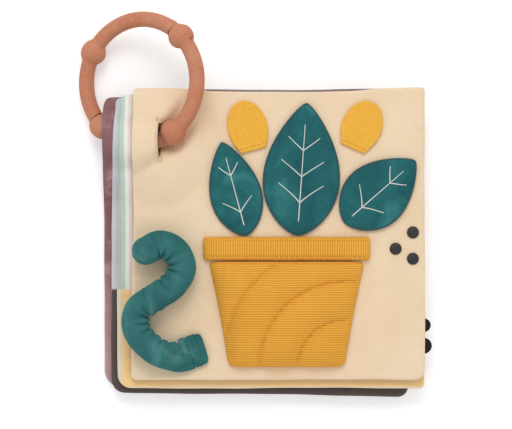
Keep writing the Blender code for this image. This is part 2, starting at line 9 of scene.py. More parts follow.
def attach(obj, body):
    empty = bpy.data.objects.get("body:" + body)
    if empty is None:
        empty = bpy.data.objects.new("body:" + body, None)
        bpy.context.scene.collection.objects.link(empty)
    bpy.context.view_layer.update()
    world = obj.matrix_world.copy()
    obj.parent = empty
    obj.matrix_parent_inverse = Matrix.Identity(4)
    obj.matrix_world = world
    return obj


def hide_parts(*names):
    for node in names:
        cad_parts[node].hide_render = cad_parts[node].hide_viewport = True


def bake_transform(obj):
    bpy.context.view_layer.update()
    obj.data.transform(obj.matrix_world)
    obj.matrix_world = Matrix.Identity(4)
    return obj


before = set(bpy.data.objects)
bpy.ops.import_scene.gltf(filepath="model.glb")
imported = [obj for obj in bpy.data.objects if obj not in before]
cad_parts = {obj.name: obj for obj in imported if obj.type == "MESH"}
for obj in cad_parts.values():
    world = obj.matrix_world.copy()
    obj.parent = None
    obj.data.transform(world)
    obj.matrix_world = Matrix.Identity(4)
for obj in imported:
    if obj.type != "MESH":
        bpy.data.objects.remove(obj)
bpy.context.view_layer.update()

scene = bpy.context.scene
gap = 0.0003                                  # clearance between neighbouring pieces


# camera, lamps and floor

view = {
    "distance": 1.10,                         # from the front card's face up to the lens
    "faceLevel": 0.021,
    "pixelSize": 0.00055,                     # what one pixel covers on that face
    "pixelsWide": 512,
    "sensor": 0.036,
    "centreRow": 214.5,                       # pixel rows of the picture's middle and of the frame's origin
    "originRow": 247.75,
    "nearClip": 0.05,
    "farClip": 20.0,
}

cameraData = bpy.data.cameras.new("overheadCamera")
camera = bpy.data.objects.new("overheadCamera", cameraData)
scene.collection.objects.link(camera)
viewWidth = view["pixelsWide"] * view["pixelSize"]
cameraData.sensor_width = view["sensor"] * 1000
cameraData.lens = view["sensor"] * 1000 * view["distance"] / viewWidth
cameraData.clip_start = view["nearClip"]
cameraData.clip_end = view["farClip"]
rise = (view["originRow"] - view["centreRow"]) * view["pixelSize"]
camera.location = (0.0, rise, view["faceLevel"] + view["distance"])
scene.camera = camera


def addNode(tree, kind, settings=None, links=None):  # one node with its values and what feeds it
    node = tree.nodes.new(kind)
    for name, value in (settings or {}).items():
        if isinstance(name, int) or name in node.inputs:
            node.inputs[name].default_value = value
        else:
            setattr(node, name, value)
    for name, source in (links or {}).items():
        tree.links.new(source, node.inputs[name])
    return node


def toLinear(code):  # an sRGB hex value as linear colour with alpha 1
    parts = [int(code[i:i + 2], 16) / 255 for i in (1, 3, 5)]
    return tuple(p / 12.92 if p <= 0.04045 else ((p + 0.055) / 1.055) ** 2.4 for p in parts) + (1.0,)


def newMaterial(name, hexColour, roughness):  # a Principled material and its tree
    material = bpy.data.materials.new(name)
    material.use_nodes = True
    shader = material.node_tree.nodes["Principled BSDF"]
    shader.inputs["Base Color"].default_value = toLinear(hexColour)
    shader.inputs["Roughness"].default_value = roughness
    material.diffuse_color = toLinear(hexColour)
    return material, material.node_tree, shader


studio = {
    "worldStrength": 0.66, "aim": (0, 0, 0.02),
    "keyPlace": (-0.10, 1.00, 1.20), "keyPower": 7.6, "keySize": 0.8,
    "fillPlace": (0.35, -0.95, 0.95), "fillPower": 2.0, "fillSize": 1.4,
    "floorSize": 3.0, "floorLevel": -0.0004, "floorLift": 0.31,
}


def seenRays(tree):  # 1 for the rays that see the backdrop: camera, glossy and transmission
    path = addNode(tree, "ShaderNodeLightPath")
    mirrored = addNode(tree, "ShaderNodeMath", {"operation": "MAXIMUM"},
                       {0: path.outputs["Is Glossy Ray"], 1: path.outputs["Is Transmission Ray"]})
    return addNode(tree, "ShaderNodeMath", {"operation": "MAXIMUM"},
                   {0: path.outputs["Is Camera Ray"], 1: mirrored.outputs[0]}).outputs[0]


world = bpy.data.worlds.new("paleStudio")
scene.world = world
world.use_nodes = True
tree = world.node_tree
tree.nodes.clear()
strength = addNode(tree, "ShaderNodeMapRange", {"To Min": studio["worldStrength"], "To Max": 1.0},
                   {"Value": seenRays(tree)})
sky = addNode(tree, "ShaderNodeBackground", {"Color": (1, 1, 1, 1)}, {"Strength": strength.outputs[0]})
addNode(tree, "ShaderNodeOutputWorld", links={"Surface": sky.outputs[0]})


def addLamp(name, place, power, size):  # a round soft lamp that points at the part
    data = bpy.data.lights.new(name, "AREA")
    data.shape = "DISK"
    data.energy = power
    data.size = size
    lamp = bpy.data.objects.new(name, data)
    scene.collection.objects.link(lamp)
    lamp.location = place
    lamp.rotation_euler = (Vector(studio["aim"]) - Vector(place)).to_track_quat("-Z", "Y").to_euler()


addLamp("softKey", studio["keyPlace"], studio["keyPower"], studio["keySize"])
addLamp("softFill", studio["fillPlace"], studio["fillPower"], studio["fillSize"])

bm = bmesh.new()
bmesh.ops.create_grid(bm, x_segments=1, y_segments=1, size=studio["floorSize"])
floorMesh = bpy.data.meshes.new("studioFloor")
bm.to_mesh(floorMesh)
bm.free()
studioFloor = bpy.data.objects.new("studioFloor", floorMesh)
scene.collection.objects.link(studioFloor)
studioFloor.location.z = studio["floorLevel"]
paleFloor, tree, shader = newMaterial("paleFloor", "#F4F4F4", 0.9)
shader.inputs["Specular IOR Level"].default_value = 0.1
lift = addNode(tree, "ShaderNodeMath", {"operation": "MULTIPLY", 1: studio["floorLift"]},
               {0: seenRays(tree)})
tree.links.new(lift.outputs[0], shader.inputs["Emission Strength"])
shader.inputs["Emission Color"].default_value = (1, 1, 1, 1)
floorMesh.materials.append(paleFloor)
scene.view_settings.view_transform = "Standard"
print("studio ready")


# fabrics, plastic, thread and steel

def objectPoint(tree):  # the piece's own coordinates, in metres
    return addNode(tree, "ShaderNodeTexCoord").outputs["Object"]


def mixColours(tree, factor, first, second):
    made = addNode(tree, "ShaderNodeMix", {"data_type": "RGBA"})
    for socket, value in ((6, first), (7, second)):
        if isinstance(value, str):
            made.inputs[socket].default_value = toLinear(value)
        else:
            tree.links.new(value, made.inputs[socket])
    tree.links.new(factor, made.inputs[0])
    return made.outputs[2]


def clothBump(tree, shader, height, distance, strength=1.0):
    bump = addNode(tree, "ShaderNodeBump", {"Strength": strength, "Distance": distance},
                   {"Height": height})
    tree.links.new(bump.outputs[0], shader.inputs["Normal"])


def weaveHeight(tree, point, spacing):  # crossed thread waves of a plain weave
    heights = []
    for direction in ("X", "Y"):
        wave = addNode(tree, "ShaderNodeTexWave", {
            "wave_type": "BANDS", "bands_direction": direction, "Scale": 2 * math.pi / (20 * spacing),
            "Distortion": 1.2, "Detail": 1.0, "Detail Scale": 2.0,
        }, {"Vector": point})
        heights.append(wave.outputs["Fac"])
    crossed = addNode(tree, "ShaderNodeMath", {"operation": "MULTIPLY"}, {0: heights[0], 1: heights[1]})
    return crossed.outputs[0]


def cottonMaterial(name, pale, deep, bands=None):
    # plain woven cotton, calendered and matt: threads 0.4 mm apart, drawn 0.9 mm apart so that they show
    material, tree, shader = newMaterial(name, pale, 0.92)
    point = objectPoint(tree)
    cloud = addNode(tree, "ShaderNodeTexNoise", {"Scale": 38.0, "Detail": 4.0, "Roughness": 0.55},
                    {"Vector": point})
    slub = addNode(tree, "ShaderNodeTexNoise", {"Scale": 900.0, "Detail": 2.0}, {"Vector": point})
    mixed = addNode(tree, "ShaderNodeMath", {"operation": "MULTIPLY_ADD", 1: 0.45},
                    {0: slub.outputs["Fac"], 2: cloud.outputs["Fac"]})
    factor = addNode(tree, "ShaderNodeMapRange", {"From Min": 0.45, "From Max": 1.0},
                     {"Value": mixed.outputs[0]})
    colour = mixColours(tree, factor.outputs[0], pale, deep)
    if bands:
        colour = bands(tree, point, colour)
    tree.links.new(colour, shader.inputs["Base Color"])
    shader.inputs["Sheen Weight"].default_value = 0.12
    shader.inputs["Sheen Roughness"].default_value = 0.6
    shader.inputs["Specular IOR Level"].default_value = 0.25
    clothBump(tree, shader, weaveHeight(tree, point, 0.0009), 0.00012, 0.55)
    return material


def belowLine(tree, point, level, soft=0.0006):  # 1 below a line across the card, 0 above it
    parts = addNode(tree, "ShaderNodeSeparateXYZ", links={0: point})
    return addNode(tree, "ShaderNodeMapRange", {"From Min": level + soft, "From Max": level - soft},
                   {"Value": parts.outputs["Y"]}).outputs[0]


def rightOfLine(tree, point, place, soft=0.0004):  # 1 right of a line up the card, 0 left of it
    parts = addNode(tree, "ShaderNodeSeparateXYZ", links={0: point})
    return addNode(tree, "ShaderNodeMapRange", {"From Min": place - soft, "From Max": place + soft},
                   {"Value": parts.outputs["X"]}).outputs[0]


def velourMaterial(name, deep, middle, pale, patch, sheen, paintedLightBelow=None):
    # knitted polyester velour: the nap lies light and dark in soft patches, and its rim is pale
    material, tree, shader = newMaterial(name, middle, 0.85)
    point = objectPoint(tree)
    nap = addNode(tree, "ShaderNodeTexNoise", {
        "Scale": patch, "Detail": 5.0, "Roughness": 0.62, "Distortion": 0.6,
    }, {"Vector": point})
    low = addNode(tree, "ShaderNodeMapRange", {"From Min": 0.30, "From Max": 0.55},
                  {"Value": nap.outputs["Fac"]})
    high = addNode(tree, "ShaderNodeMapRange", {"From Min": 0.55, "From Max": 0.78},
                   {"Value": nap.outputs["Fac"]})
    colour = mixColours(tree, low.outputs[0], deep, middle)
    colour = mixColours(tree, high.outputs[0], colour, pale)
    if paintedLightBelow:  # below this level the colour is painted paler: painted light on the lower nap
        share = addNode(tree, "ShaderNodeMath", {"operation": "MULTIPLY", 1: paintedLightBelow["share"]},
                        {0: belowLine(tree, point, paintedLightBelow["level"], paintedLightBelow["soft"])})
        colour = mixColours(tree, share.outputs[0], colour, pale)
    tree.links.new(colour, shader.inputs["Base Color"])
    shader.inputs["Sheen Weight"].default_value = sheen
    shader.inputs["Sheen Roughness"].default_value = 0.35
    shader.inputs["Sheen Tint"].default_value = toLinear(pale)
    shader.inputs["Specular IOR Level"].default_value = 0.15
    pile = addNode(tree, "ShaderNodeTexNoise", {"Scale": 1500.0, "Detail": 2.0, "Roughness": 0.7},
                   {"Vector": point})
    clothBump(tree, shader, pile.outputs["Fac"], 0.0002, 0.5)
    return material


def feltMaterial(name, pale, deep):
    # pressed polyester felt: matted fibres, cut edges, no sheen
    material, tree, shader = newMaterial(name, pale, 0.95)
    point = objectPoint(tree)
    fibre = addNode(tree, "ShaderNodeTexNoise", {
        "Scale": 700.0, "Detail": 4.0, "Roughness": 0.7, "Distortion": 1.5,
    }, {"Vector": point})
    factor = addNode(tree, "ShaderNodeMapRange", {"From Min": 0.35, "From Max": 0.70},
                     {"Value": fibre.outputs["Fac"]})
    tree.links.new(mixColours(tree, factor.outputs[0], pale, deep), shader.inputs["Base Color"])
    shader.inputs["Sheen Weight"].default_value = 0.25
    shader.inputs["Specular IOR Level"].default_value = 0.15
    clothBump(tree, shader, fibre.outputs["Fac"], 0.0003, 0.6)
    return material


def corduroyMaterial(name, ridge, valley, spacing, direction="Y"):
    # needlecord: each rib's crest is painted pale as painted light, and the groove between the ribs darker as
    # painted shade
    material, tree, shader = newMaterial(name, ridge, 0.9)
    point = objectPoint(tree)
    ribs = addNode(tree, "ShaderNodeTexWave", {
        "wave_type": "BANDS", "bands_direction": direction, "Scale": 2 * math.pi / (20 * spacing),
        "Phase Offset": -math.pi / 2,
    }, {"Vector": point})
    cloud = addNode(tree, "ShaderNodeTexNoise", {"Scale": 60.0, "Detail": 3.0}, {"Vector": point})
    both = addNode(tree, "ShaderNodeMath", {"operation": "MULTIPLY_ADD", 1: 0.5},
                   {0: cloud.outputs["Fac"], 2: ribs.outputs["Fac"]})
    factor = addNode(tree, "ShaderNodeMapRange", {"From Min": 0.30, "From Max": 1.05},
                     {"Value": both.outputs[0]})
    tree.links.new(mixColours(tree, factor.outputs[0], valley, ridge), shader.inputs["Base Color"])
    shader.inputs["Sheen Weight"].default_value = 0.25
    shader.inputs["Sheen Tint"].default_value = toLinear(ridge)
    shader.inputs["Specular IOR Level"].default_value = 0.15
    pile = addNode(tree, "ShaderNodeTexNoise", {"Scale": 1400.0, "Detail": 2.0}, {"Vector": point})
    clothBump(tree, shader, pile.outputs["Fac"], 0.0002, 0.4)
    return material


def threadMaterial(name, pale, deep, spacing=0.0006):
    # rayon embroidery thread, satin stitched: fine parallel strands with a soft gloss
    material, tree, shader = newMaterial(name, pale, 0.55)
    point = objectPoint(tree)
    strands = addNode(tree, "ShaderNodeTexWave", {
        "wave_type": "BANDS", "bands_direction": "DIAGONAL", "Scale": 2 * math.pi / (20 * spacing),
        "Distortion": 2.0, "Detail": 2.0,
    }, {"Vector": point})
    tree.links.new(mixColours(tree, strands.outputs["Fac"], deep, pale), shader.inputs["Base Color"])
    clothBump(tree, shader, strands.outputs["Fac"], 0.00015, 0.6)
    return material


def mouldedPlastic(name, body, paleFleck, darkFleck):
    # moulded silicone-like plastic filled with wood flour: matt, with flecks under a millimetre across
    material, tree, shader = newMaterial(name, body, 0.58)
    point = objectPoint(tree)
    dark = addNode(tree, "ShaderNodeTexNoise", {"Scale": 1100.0, "Detail": 2.0, "Roughness": 0.6},
                   {"Vector": point})
    pale = addNode(tree, "ShaderNodeTexNoise", {"Scale": 800.0, "Detail": 3.0, "Distortion": 0.8},
                   {"Vector": point})
    cloud = addNode(tree, "ShaderNodeTexNoise", {"Scale": 70.0, "Detail": 3.0}, {"Vector": point})
    darkFactor = addNode(tree, "ShaderNodeMapRange", {"From Min": 0.56, "From Max": 0.70, "To Max": 0.6},
                         {"Value": dark.outputs["Fac"]})
    paleFactor = addNode(tree, "ShaderNodeMapRange", {"From Min": 0.56, "From Max": 0.72, "To Max": 0.6},
                         {"Value": pale.outputs["Fac"]})
    cloudFactor = addNode(tree, "ShaderNodeMapRange", {"From Min": 0.35, "From Max": 0.65, "To Max": 0.35},
                          {"Value": cloud.outputs["Fac"]})
    colour = mixColours(tree, cloudFactor.outputs[0], body, paleFleck)
    colour = mixColours(tree, darkFactor.outputs[0], colour, darkFleck)
    colour = mixColours(tree, paleFactor.outputs[0], colour, paleFleck)
    tree.links.new(colour, shader.inputs["Base Color"])
    rough = addNode(tree, "ShaderNodeMapRange", {"To Min": 0.50, "To Max": 0.68},
                    {"Value": pale.outputs["Fac"]})
    tree.links.new(rough.outputs[0], shader.inputs["Roughness"])
    shader.inputs["Specular IOR Level"].default_value = 0.35
    clothBump(tree, shader, dark.outputs["Fac"], 0.00006, 0.5)
    return material


colours = {
    "cream": "#F7E0C1", "creamDeep": "#EFD3AF",
    "peach": "#FFD596", "peachDeep": "#F9C380",
    "mint": "#BFD8C6", "white": "#F6F3EE",
    "blueGrey": "#D6DADE", "blueGreyDeep": "#BEC4CB",
    # mauve is painted shade: the dark line along the front card's edges, given to its lower cloth and seam
    "charcoal": "#564946", "charcoalDeep": "#423634",
    "edgeShade": "#8D7A7C", "edgeShadeDeep": "#766468",
}
# the inner cards' blocks of colour: places across and up the card where one gives way to the next
bands = {
    "stripes": ((-0.0745, colours["mint"]), (-0.0722, colours["white"]), (-0.0700, "#F0DDD4"),
                # the #C9CBB9 stripe is painted shade, cast by the front card's left edge
                (-0.0683, "#C9CBB9"), (-0.0670, colours["white"])),
    "lowerBlock": -0.0232, "blockEdge": -0.0737, "blockEdgeColour": "#E9D9BE",
    "hem": -0.0768, "hemSoft": 0.0004, "hemColour": "#F3DDBE",
}


def secondFaceBands(tree, point, colour):  # mint edge, white and pink stripes, a grey stripe of painted shade beside the front card's edge, and a peach lower part
    for place, shade in bands["stripes"]:
        colour = mixColours(tree, rightOfLine(tree, point, place), colour, shade)
    edgeFactor = rightOfLine(tree, point, bands["blockEdge"])
    edge = mixColours(tree, edgeFactor, bands["blockEdgeColour"], colours["peach"])
    colour = mixColours(tree, belowLine(tree, point, bands["lowerBlock"]), colour, edge)
    hemFactor = belowLine(tree, point, bands["hem"], bands["hemSoft"])
    return mixColours(tree, hemFactor, colour, bands["hemColour"])


def thirdFaceBands(tree, point, colour):  # charcoal below the same line
    return mixColours(tree, belowLine(tree, point, bands["lowerBlock"]), colour, colours["charcoal"])


creamCotton = cottonMaterial("creamCotton", colours["cream"], colours["creamDeep"])
# the front card's lower cloth and seam: mauve as painted shade along its edges
edgeShadeCotton = cottonMaterial("edgeShadeCotton", colours["edgeShade"], colours["edgeShadeDeep"])
bandedCotton = cottonMaterial("bandedCotton", "#C6CBC2", "#B4BBB2", secondFaceBands)
peachCotton = cottonMaterial("peachCotton", colours["peach"], colours["peachDeep"])
twoToneCotton = cottonMaterial("twoToneCotton", colours["blueGrey"], colours["blueGreyDeep"], thirdFaceBands)
charcoalCotton = cottonMaterial("charcoalCotton", colours["charcoal"], colours["charcoalDeep"])
# the plum velour is painted paler towards the card's lower part, as painted light
plumVelour = velourMaterial("plumVelour", "#82575C", "#946A6E", "#CAA9AC", patch=55.0, sheen=0.6,
                            paintedLightBelow={"level": -0.030, "soft": 0.030, "share": 0.75})
tealVelour = velourMaterial("tealVelour", "#1B5358", "#27696C", "#438A88", patch=46.0, sheen=0.35)
tendrilVelour = velourMaterial("tendrilVelour", "#27605F", "#3A7575", "#629896", patch=60.0, sheen=0.45)
yellowFelt = feltMaterial("yellowFelt", "#F8BF4C", "#EBA836")
blackFelt = feltMaterial("blackFelt", "#2A2B29", "#1C1C1B")
ribSpacing = 0.0013
# ridge and valley colours: painted light on the rib crests, painted shade in the grooves
needlecord = corduroyMaterial("needlecord", "#F3B54A", "#D89432", ribSpacing)
rimCord = corduroyMaterial("rimCord", "#F3B54A", "#D89432", ribSpacing, "X")
terracotta = mouldedPlastic("terracottaPlastic", "#C47C5B", "#D69C80", "#A05C42")
whiteThread = threadMaterial("whiteThread", "#F3F1EA", "#D8D6CE")
tealThread = threadMaterial("tealThread", "#1F4F55", "#173F45")
darkThread = threadMaterial("darkThread", "#1F1B1E", "#120F11", 0.0008)
creamThread = threadMaterial("creamThread", "#F0D8B6", "#D9BD96")
plumThread = threadMaterial("plumThread", "#7A5057", "#5E3A42")
yellowThread = threadMaterial("yellowThread", "#DD9E38", "#C4872B")
pinSteel, tree, shader = newMaterial("pinSteel", "#B9BABC", 0.28)     # drawn steel wire
shader.inputs["Metallic"].default_value = 1.0
print("materials ready")


# mesh helpers

def toObject(bm, name, materials, smooth=True):  # a finished bmesh as an object at the origin
    mesh = bpy.data.meshes.new(name)
    bm.to_mesh(mesh)
    bm.free()
    for material in materials:
        mesh.materials.append(material)
    if smooth:
        mesh.shade_smooth()
    made = bpy.data.objects.new(name, mesh)
    scene.collection.objects.link(made)
    return made


def applyModifiers(piece):  # the piece's evaluated mesh in place of its modifiers
    bpy.context.view_layer.update()
    evaluated = piece.evaluated_get(bpy.context.evaluated_depsgraph_get())
    mesh = bpy.data.meshes.new_from_object(evaluated)
    piece.modifiers.clear()
    piece.data = mesh


def onlyVerts(made):  # the corners among what an operator made
    return [item for item in made["geom"] if isinstance(item, bmesh.types.BMVert)]


def wholeOf(bm):
    return list(bm.verts) + list(bm.edges) + list(bm.faces)


def sweepTube(name, points, radii, material, sides, closed=False, squashTo=1.0):
    # a circle carried along a route, with its own radius at each point; squashTo flattens it
    points = [Vector(p) for p in points]
    count = len(points)
    bm = bmesh.new()
    rings = []
    for index, place in enumerate(points):
        before = points[index - 1] if index or closed else place
        after = points[(index + 1) % count] if index < count - 1 or closed else place
        along = (after - before).normalized()
        side = Vector((0, 0, 1)).cross(along).normalized()
        above = along.cross(side)
        turned = Matrix((side, above * squashTo, along)).transposed().to_4x4()
        turned.translation = place
        made = bmesh.ops.create_circle(bm, cap_ends=False, segments=sides, radius=radii[index],
                                       matrix=turned)
        rings.append(made["verts"])

    def edgesOf(ring):
        inside = set(ring)
        return [edge for vert in ring for edge in vert.link_edges if edge.other_vert(vert) in inside]

    loops = [list(dict.fromkeys(edgesOf(ring))) for ring in rings]
    pairs = list(zip(loops, loops[1:])) + ([(loops[-1], loops[0])] if closed else [])
    for first, second in pairs:
        bmesh.ops.bridge_loops(bm, edges=first + second)
    if not closed:
        bmesh.ops.holes_fill(bm, edges=loops[0] + loops[-1], sides=sides)
    bmesh.ops.recalc_face_normals(bm, faces=bm.faces)
    return toObject(bm, name, [material])


def smoothStep(share):
    share = np.clip(share, 0.0, 1.0)
    return share * share * (3 - 2 * share)


def softNoise(x, y, scale, seed):  # smooth noise from sines that never changes between runs
    a = np.sin(x * scale + seed) * np.cos(y * scale * 0.83 + seed * 1.7)
    b = np.sin((x + y) * scale * 1.71 + seed * 2.3) * np.cos((x - y) * scale * 1.37 - seed)
    return 0.6 * a + 0.4 * b


# the ring's sizes, and the four padded cards that hang on it

# tube and ball are radii, and the angles run round the ring from its right
ring = {
    "radius": 0.0343, "tube": 0.00425, "ball": 0.0070, "tilt": math.radians(24.5), "offset": 0.0060,
    "hinge": math.radians(44.5), "upperBall": math.radians(150.5), "lowerBall": math.radians(-55.5),
}
# slitInset: from the left edge to the buttonhole. slitDrop: from the front card's upper edge to the ring's
# lowest point. the three reaches are from the buttonhole: thin up to the first, padded from the second, and
# lifted up to the third
cloth = {
    "panel": 0.0005, "wadding": 0.0034, "edgeRoll": 0.0025, "slitInset": 0.0143, "slitHalf": 0.0102,
    "slitGape": 0.0005, "slitDrop": 0.0307, "thinReach": 0.024, "paddedReach": 0.034, "liftReach": 0.034,
    "tentSpread": 0.60, "lipSlack": 0.0002, "gridStep": 0.0017, "probe": 0.0005,
    "edgeLines": (0.0002, 0.0005, 0.0009, 0.0014, 0.0020, 0.0027),     # grid lines over a rolled edge
}
cloth["thickness"] = cloth["wadding"] + 2 * (cloth["panel"] + gap)
cloth["pitch"] = cloth["thickness"] + gap
cloth["pair"] = 2 * cloth["panel"] + gap

# pulls: how far each soft edge is drawn from straight, at its start, middle and end
# shift: from the card behind, to the right and up. corners: the low and the high corners, left first
# faces: upper cloth, lower cloth and seam. strip and stack: how the corner's cloth piles up on the ring
cardSizes = {
    "back": {
        "width": 0.1672, "height": 0.1630, "shift": (0.0, 0.0),
        "corners": (0.011, 0.0075, 0.0045, 0.0060),
        "faces": (plumVelour, plumVelour, plumVelour), "slot": "plum_velour",
        "strip": 0.0, "stack": 0.0, "seed": 1.3,
        "pulls": {"left": (-0.0010, -0.0012, -0.0010), "right": (0.0, 0.0, 0.0),
                  "low": (0.0024, 0.0020, 0.0010), "high": (0.0017, 0.0006, 0.0)},
    },
    "third": {
        "width": 0.1628, "height": 0.1633, "shift": (0.0044, 0.0008),
        "corners": (0.0075, 0.0060, 0.003, 0.003),
        "faces": (twoToneCotton, charcoalCotton, twoToneCotton), "slot": "white_cotton",
        "strip": 0.0006, "stack": 0.0012, "seed": 2.1,
        "pulls": {"left": (-0.0011, -0.0012, 0.0018), "right": (0.0010, 0.0, 0.0),
                  "low": (0.0, -0.0011, -0.0024), "high": (0.0, 0.0, 0.0)},
    },
    "second": {
        "width": 0.1680, "height": 0.1623, "shift": (0.0036, 0.0027),
        "corners": (0.0075, 0.003, 0.003, 0.003),
        "faces": (bandedCotton, peachCotton, bandedCotton), "slot": "mint_cotton",
        "strip": 0.0012, "stack": 0.0019, "seed": 3.7,
        "pulls": {"left": (-0.0011, -0.0011, 0.0014), "right": (0.0008, 0.0004, 0.0),
                  "low": (0.0, 0.0003, 0.0), "high": (0.0, 0.0, 0.0)},
    },
    "front": {
        "width": 0.1604, "height": 0.1609, "shift": (0.0082, 0.0050),
        "corners": (0.003, 0.0060, 0.002, 0.002),
        # the mauve lower cloth and seam draw painted shade along the front card's edges
        "faces": (creamCotton, edgeShadeCotton, edgeShadeCotton), "slot": "cream_cotton",
        "strip": 0.0008, "stack": 0.0028, "seed": 5.9,
        "pulls": {"left": (-0.0016, -0.0002, 0.0), "right": (0.0003, 0.0, -0.0002),
                  "low": (0.0, 0.0002, 0.0), "high": (-0.0003, -0.0010, 0.0006)},
    },
}
pullReach = {"left": 0.045, "right": 0.05, "low": 0.05, "high": 0.016, "pastSlit": 0.03,
             "stations": (0.0, 0.55, 1.0)}
left, bottom = -cardSizes["back"]["width"] / 2, -cardSizes["back"]["height"] / 2
for level, card in enumerate(cardSizes.values()):
    left += card["shift"][0]
    bottom += card["shift"][1]
    card.update(left=left, right=left + card["width"], bottom=bottom, top=bottom + card["height"])
    card["mid"] = cloth["thickness"] / 2 + level * cloth["pitch"]
    card["slitX"] = left + cloth["slitInset"]
frontCard = cardSizes["front"]
ring["x"] = cardSizes["back"]["slitX"] + ring["offset"]
ring["y"] = frontCard["top"] - cloth["slitDrop"] + ring["radius"]
ring["lip"] = ring["tube"] / math.cos(ring["tilt"]) + cloth["pair"] / 2 + gap + cloth["lipSlack"]
ring["z"] = frontCard["mid"] + ring["lip"] - math.tan(ring["tilt"]) * (frontCard["slitX"] - ring["x"])


def ringLine(x):  # the ring's lower half seen from above
    share = np.clip((x - ring["x"]) / (ring["radius"] * math.cos(ring["tilt"])), -0.95, 0.95)
    return ring["y"] - ring["radius"] * np.sqrt(1 - share * share)


for card in cardSizes.values():
    card["slitY"] = float(ringLine(card["slitX"]))
    level = ring["z"] + math.tan(ring["tilt"]) * (card["slitX"] - ring["x"])
    card["rise"] = level + card["stack"] - card["mid"]


def slitDistance(card, x, y):
    return np.hypot(x - card["slitX"], np.maximum(np.abs(y - card["slitY"]) - cloth["slitHalf"], 0.0))


def clothLevel(card, x, y, lip):
    # the card's middle surface, drawn up at the buttonhole: over the ring on its left, under it on its right
    near = 1 - smoothStep(slitDistance(card, x, y) / cloth["liftReach"])
    spread = cloth["slitHalf"] + cloth["tentSpread"] * np.abs(x - card["slitX"])
    shape = (1 - np.minimum(np.abs((y - ringLine(x)) / spread), 1.0) ** 3) ** 2
    over = card["mid"] + near * card["rise"] + (ring["lip"] + card["strip"]) * shape
    under = card["mid"] + near * (card["rise"] - (ring["lip"] + card["stack"]) * shape)
    return np.where(lip > 0, under, over)


def edgeDistance(card, x, y):  # how far inside the outline a place is, with the corners rounded
    inset = np.minimum(np.minimum(x - card["left"], card["right"] - x),
                       np.minimum(y - card["bottom"], card["top"] - y))
    sides = ((x - card["left"], y - card["bottom"]), (card["right"] - x, y - card["bottom"]),
             (x - card["left"], card["top"] - y), (card["right"] - x, card["top"] - y))
    for radius, (along, up) in zip(card["corners"], sides):
        inCorner = (along < radius) & (up < radius)
        inset = np.where(inCorner, np.minimum(inset, radius - np.hypot(radius - along, radius - up)), inset)
    return inset


def halfThickness(card, x, y):  # padded in the middle, thin near the buttonhole, rolled at the edge
    slit = slitDistance(card, x, y)
    roll = 1 - np.clip(edgeDistance(card, x, y) / cloth["edgeRoll"], 0.0, 1.0)
    padding = smoothStep((slit - cloth["thinReach"]) / (cloth["paddedReach"] - cloth["thinReach"]))
    padding = padding * np.sqrt(np.maximum(1 - roll * roll, 0.0))
    together = cloth["pair"] / 2
    apart = cloth["wadding"] / 2 + gap + cloth["panel"]
    return together + (apart - together) * padding


def spacedLines(start, end, fineStart, fineEnd, step):  # grid lines, closer together at a rolled edge
    lines = [start]
    fine = cloth["edgeLines"]
    if fineStart:
        lines += [start + f for f in fine]
    last = end - fine[-1] if fineEnd else end
    count = max(1, round((last - lines[-1]) / step))
    first = lines[-1]
    lines += [first + (last - first) * i / count for i in range(1, count + 1)]
    if fineEnd:
        lines += [end - f for f in reversed(fine[:-1])] + [end]
    return lines


def pulledPlaces(card, x, y):  # the flat outline with its edges pulled; the cloth at the buttonhole stays
    shareX = np.clip((x - card["left"]) / card["width"], 0, 1)
    shareY = np.clip((y - card["bottom"]) / card["height"], 0, 1)
    pulls = card["pulls"]
    beyond = smoothStep((np.abs(y - card["slitY"]) - cloth["slitHalf"]) / pullReach["pastSlit"])
    leftReach = cloth["slitInset"] + pullReach["left"] * beyond
    near = {
        "left": smoothStep(1 - (x - card["left"]) / leftReach),
        "right": smoothStep(1 - (card["right"] - x) / pullReach["right"]),
        "low": smoothStep(1 - (y - card["bottom"]) / pullReach["low"]),
        "high": smoothStep(1 - (card["top"] - y) / pullReach["high"]),
    }

    def pull(side, share):
        return near[side] * np.interp(share, pullReach["stations"], pulls[side])

    moveX = pull("left", shareY) + pull("right", shareY)
    moveY = pull("low", shareX) + pull("high", shareX)
    return x + moveX, y + moveY


def cornerInset(height, corner):  # how far a rounded corner lies inside the edge, at a height above its end
    return 0.0 if height >= corner else corner - math.sqrt(max(corner ** 2 - (corner - height) ** 2, 0.0))


# the seam allowance puckers the cloth inside the rolled edge and the edge wanders, both less near the
# buttonhole; along part of the front card's upper edge the seam rolls forward and shows the mauve cloth
# behind,
# which is painted shade: the dark line along that edge
seamFinish = {
    "bandInset": 0.0035, "bandWidth": 0.0030,
    "pucker": 0.00016, "puckerWaves": (900, 560), "puckerShare": 0.6,
    "dimple": 0.00022, "dimpleScale": 70, "fineDimple": 0.00010, "fineScale": 190, "settle": 0.00030,
    "wander": 0.00035, "wanderScales": (60, 55), "wanderReach": 0.006, "clearFrom": 0.012, "clearRamp": 0.03,
    "roll": 0.0013, "rollFrom": 0.21, "rollFromRamp": 0.06, "rollTo": 0.86, "rollToRamp": 0.12,
    "rollFace": 0.004, "rollBack": 0.0015, "backShare": 0.4,
}


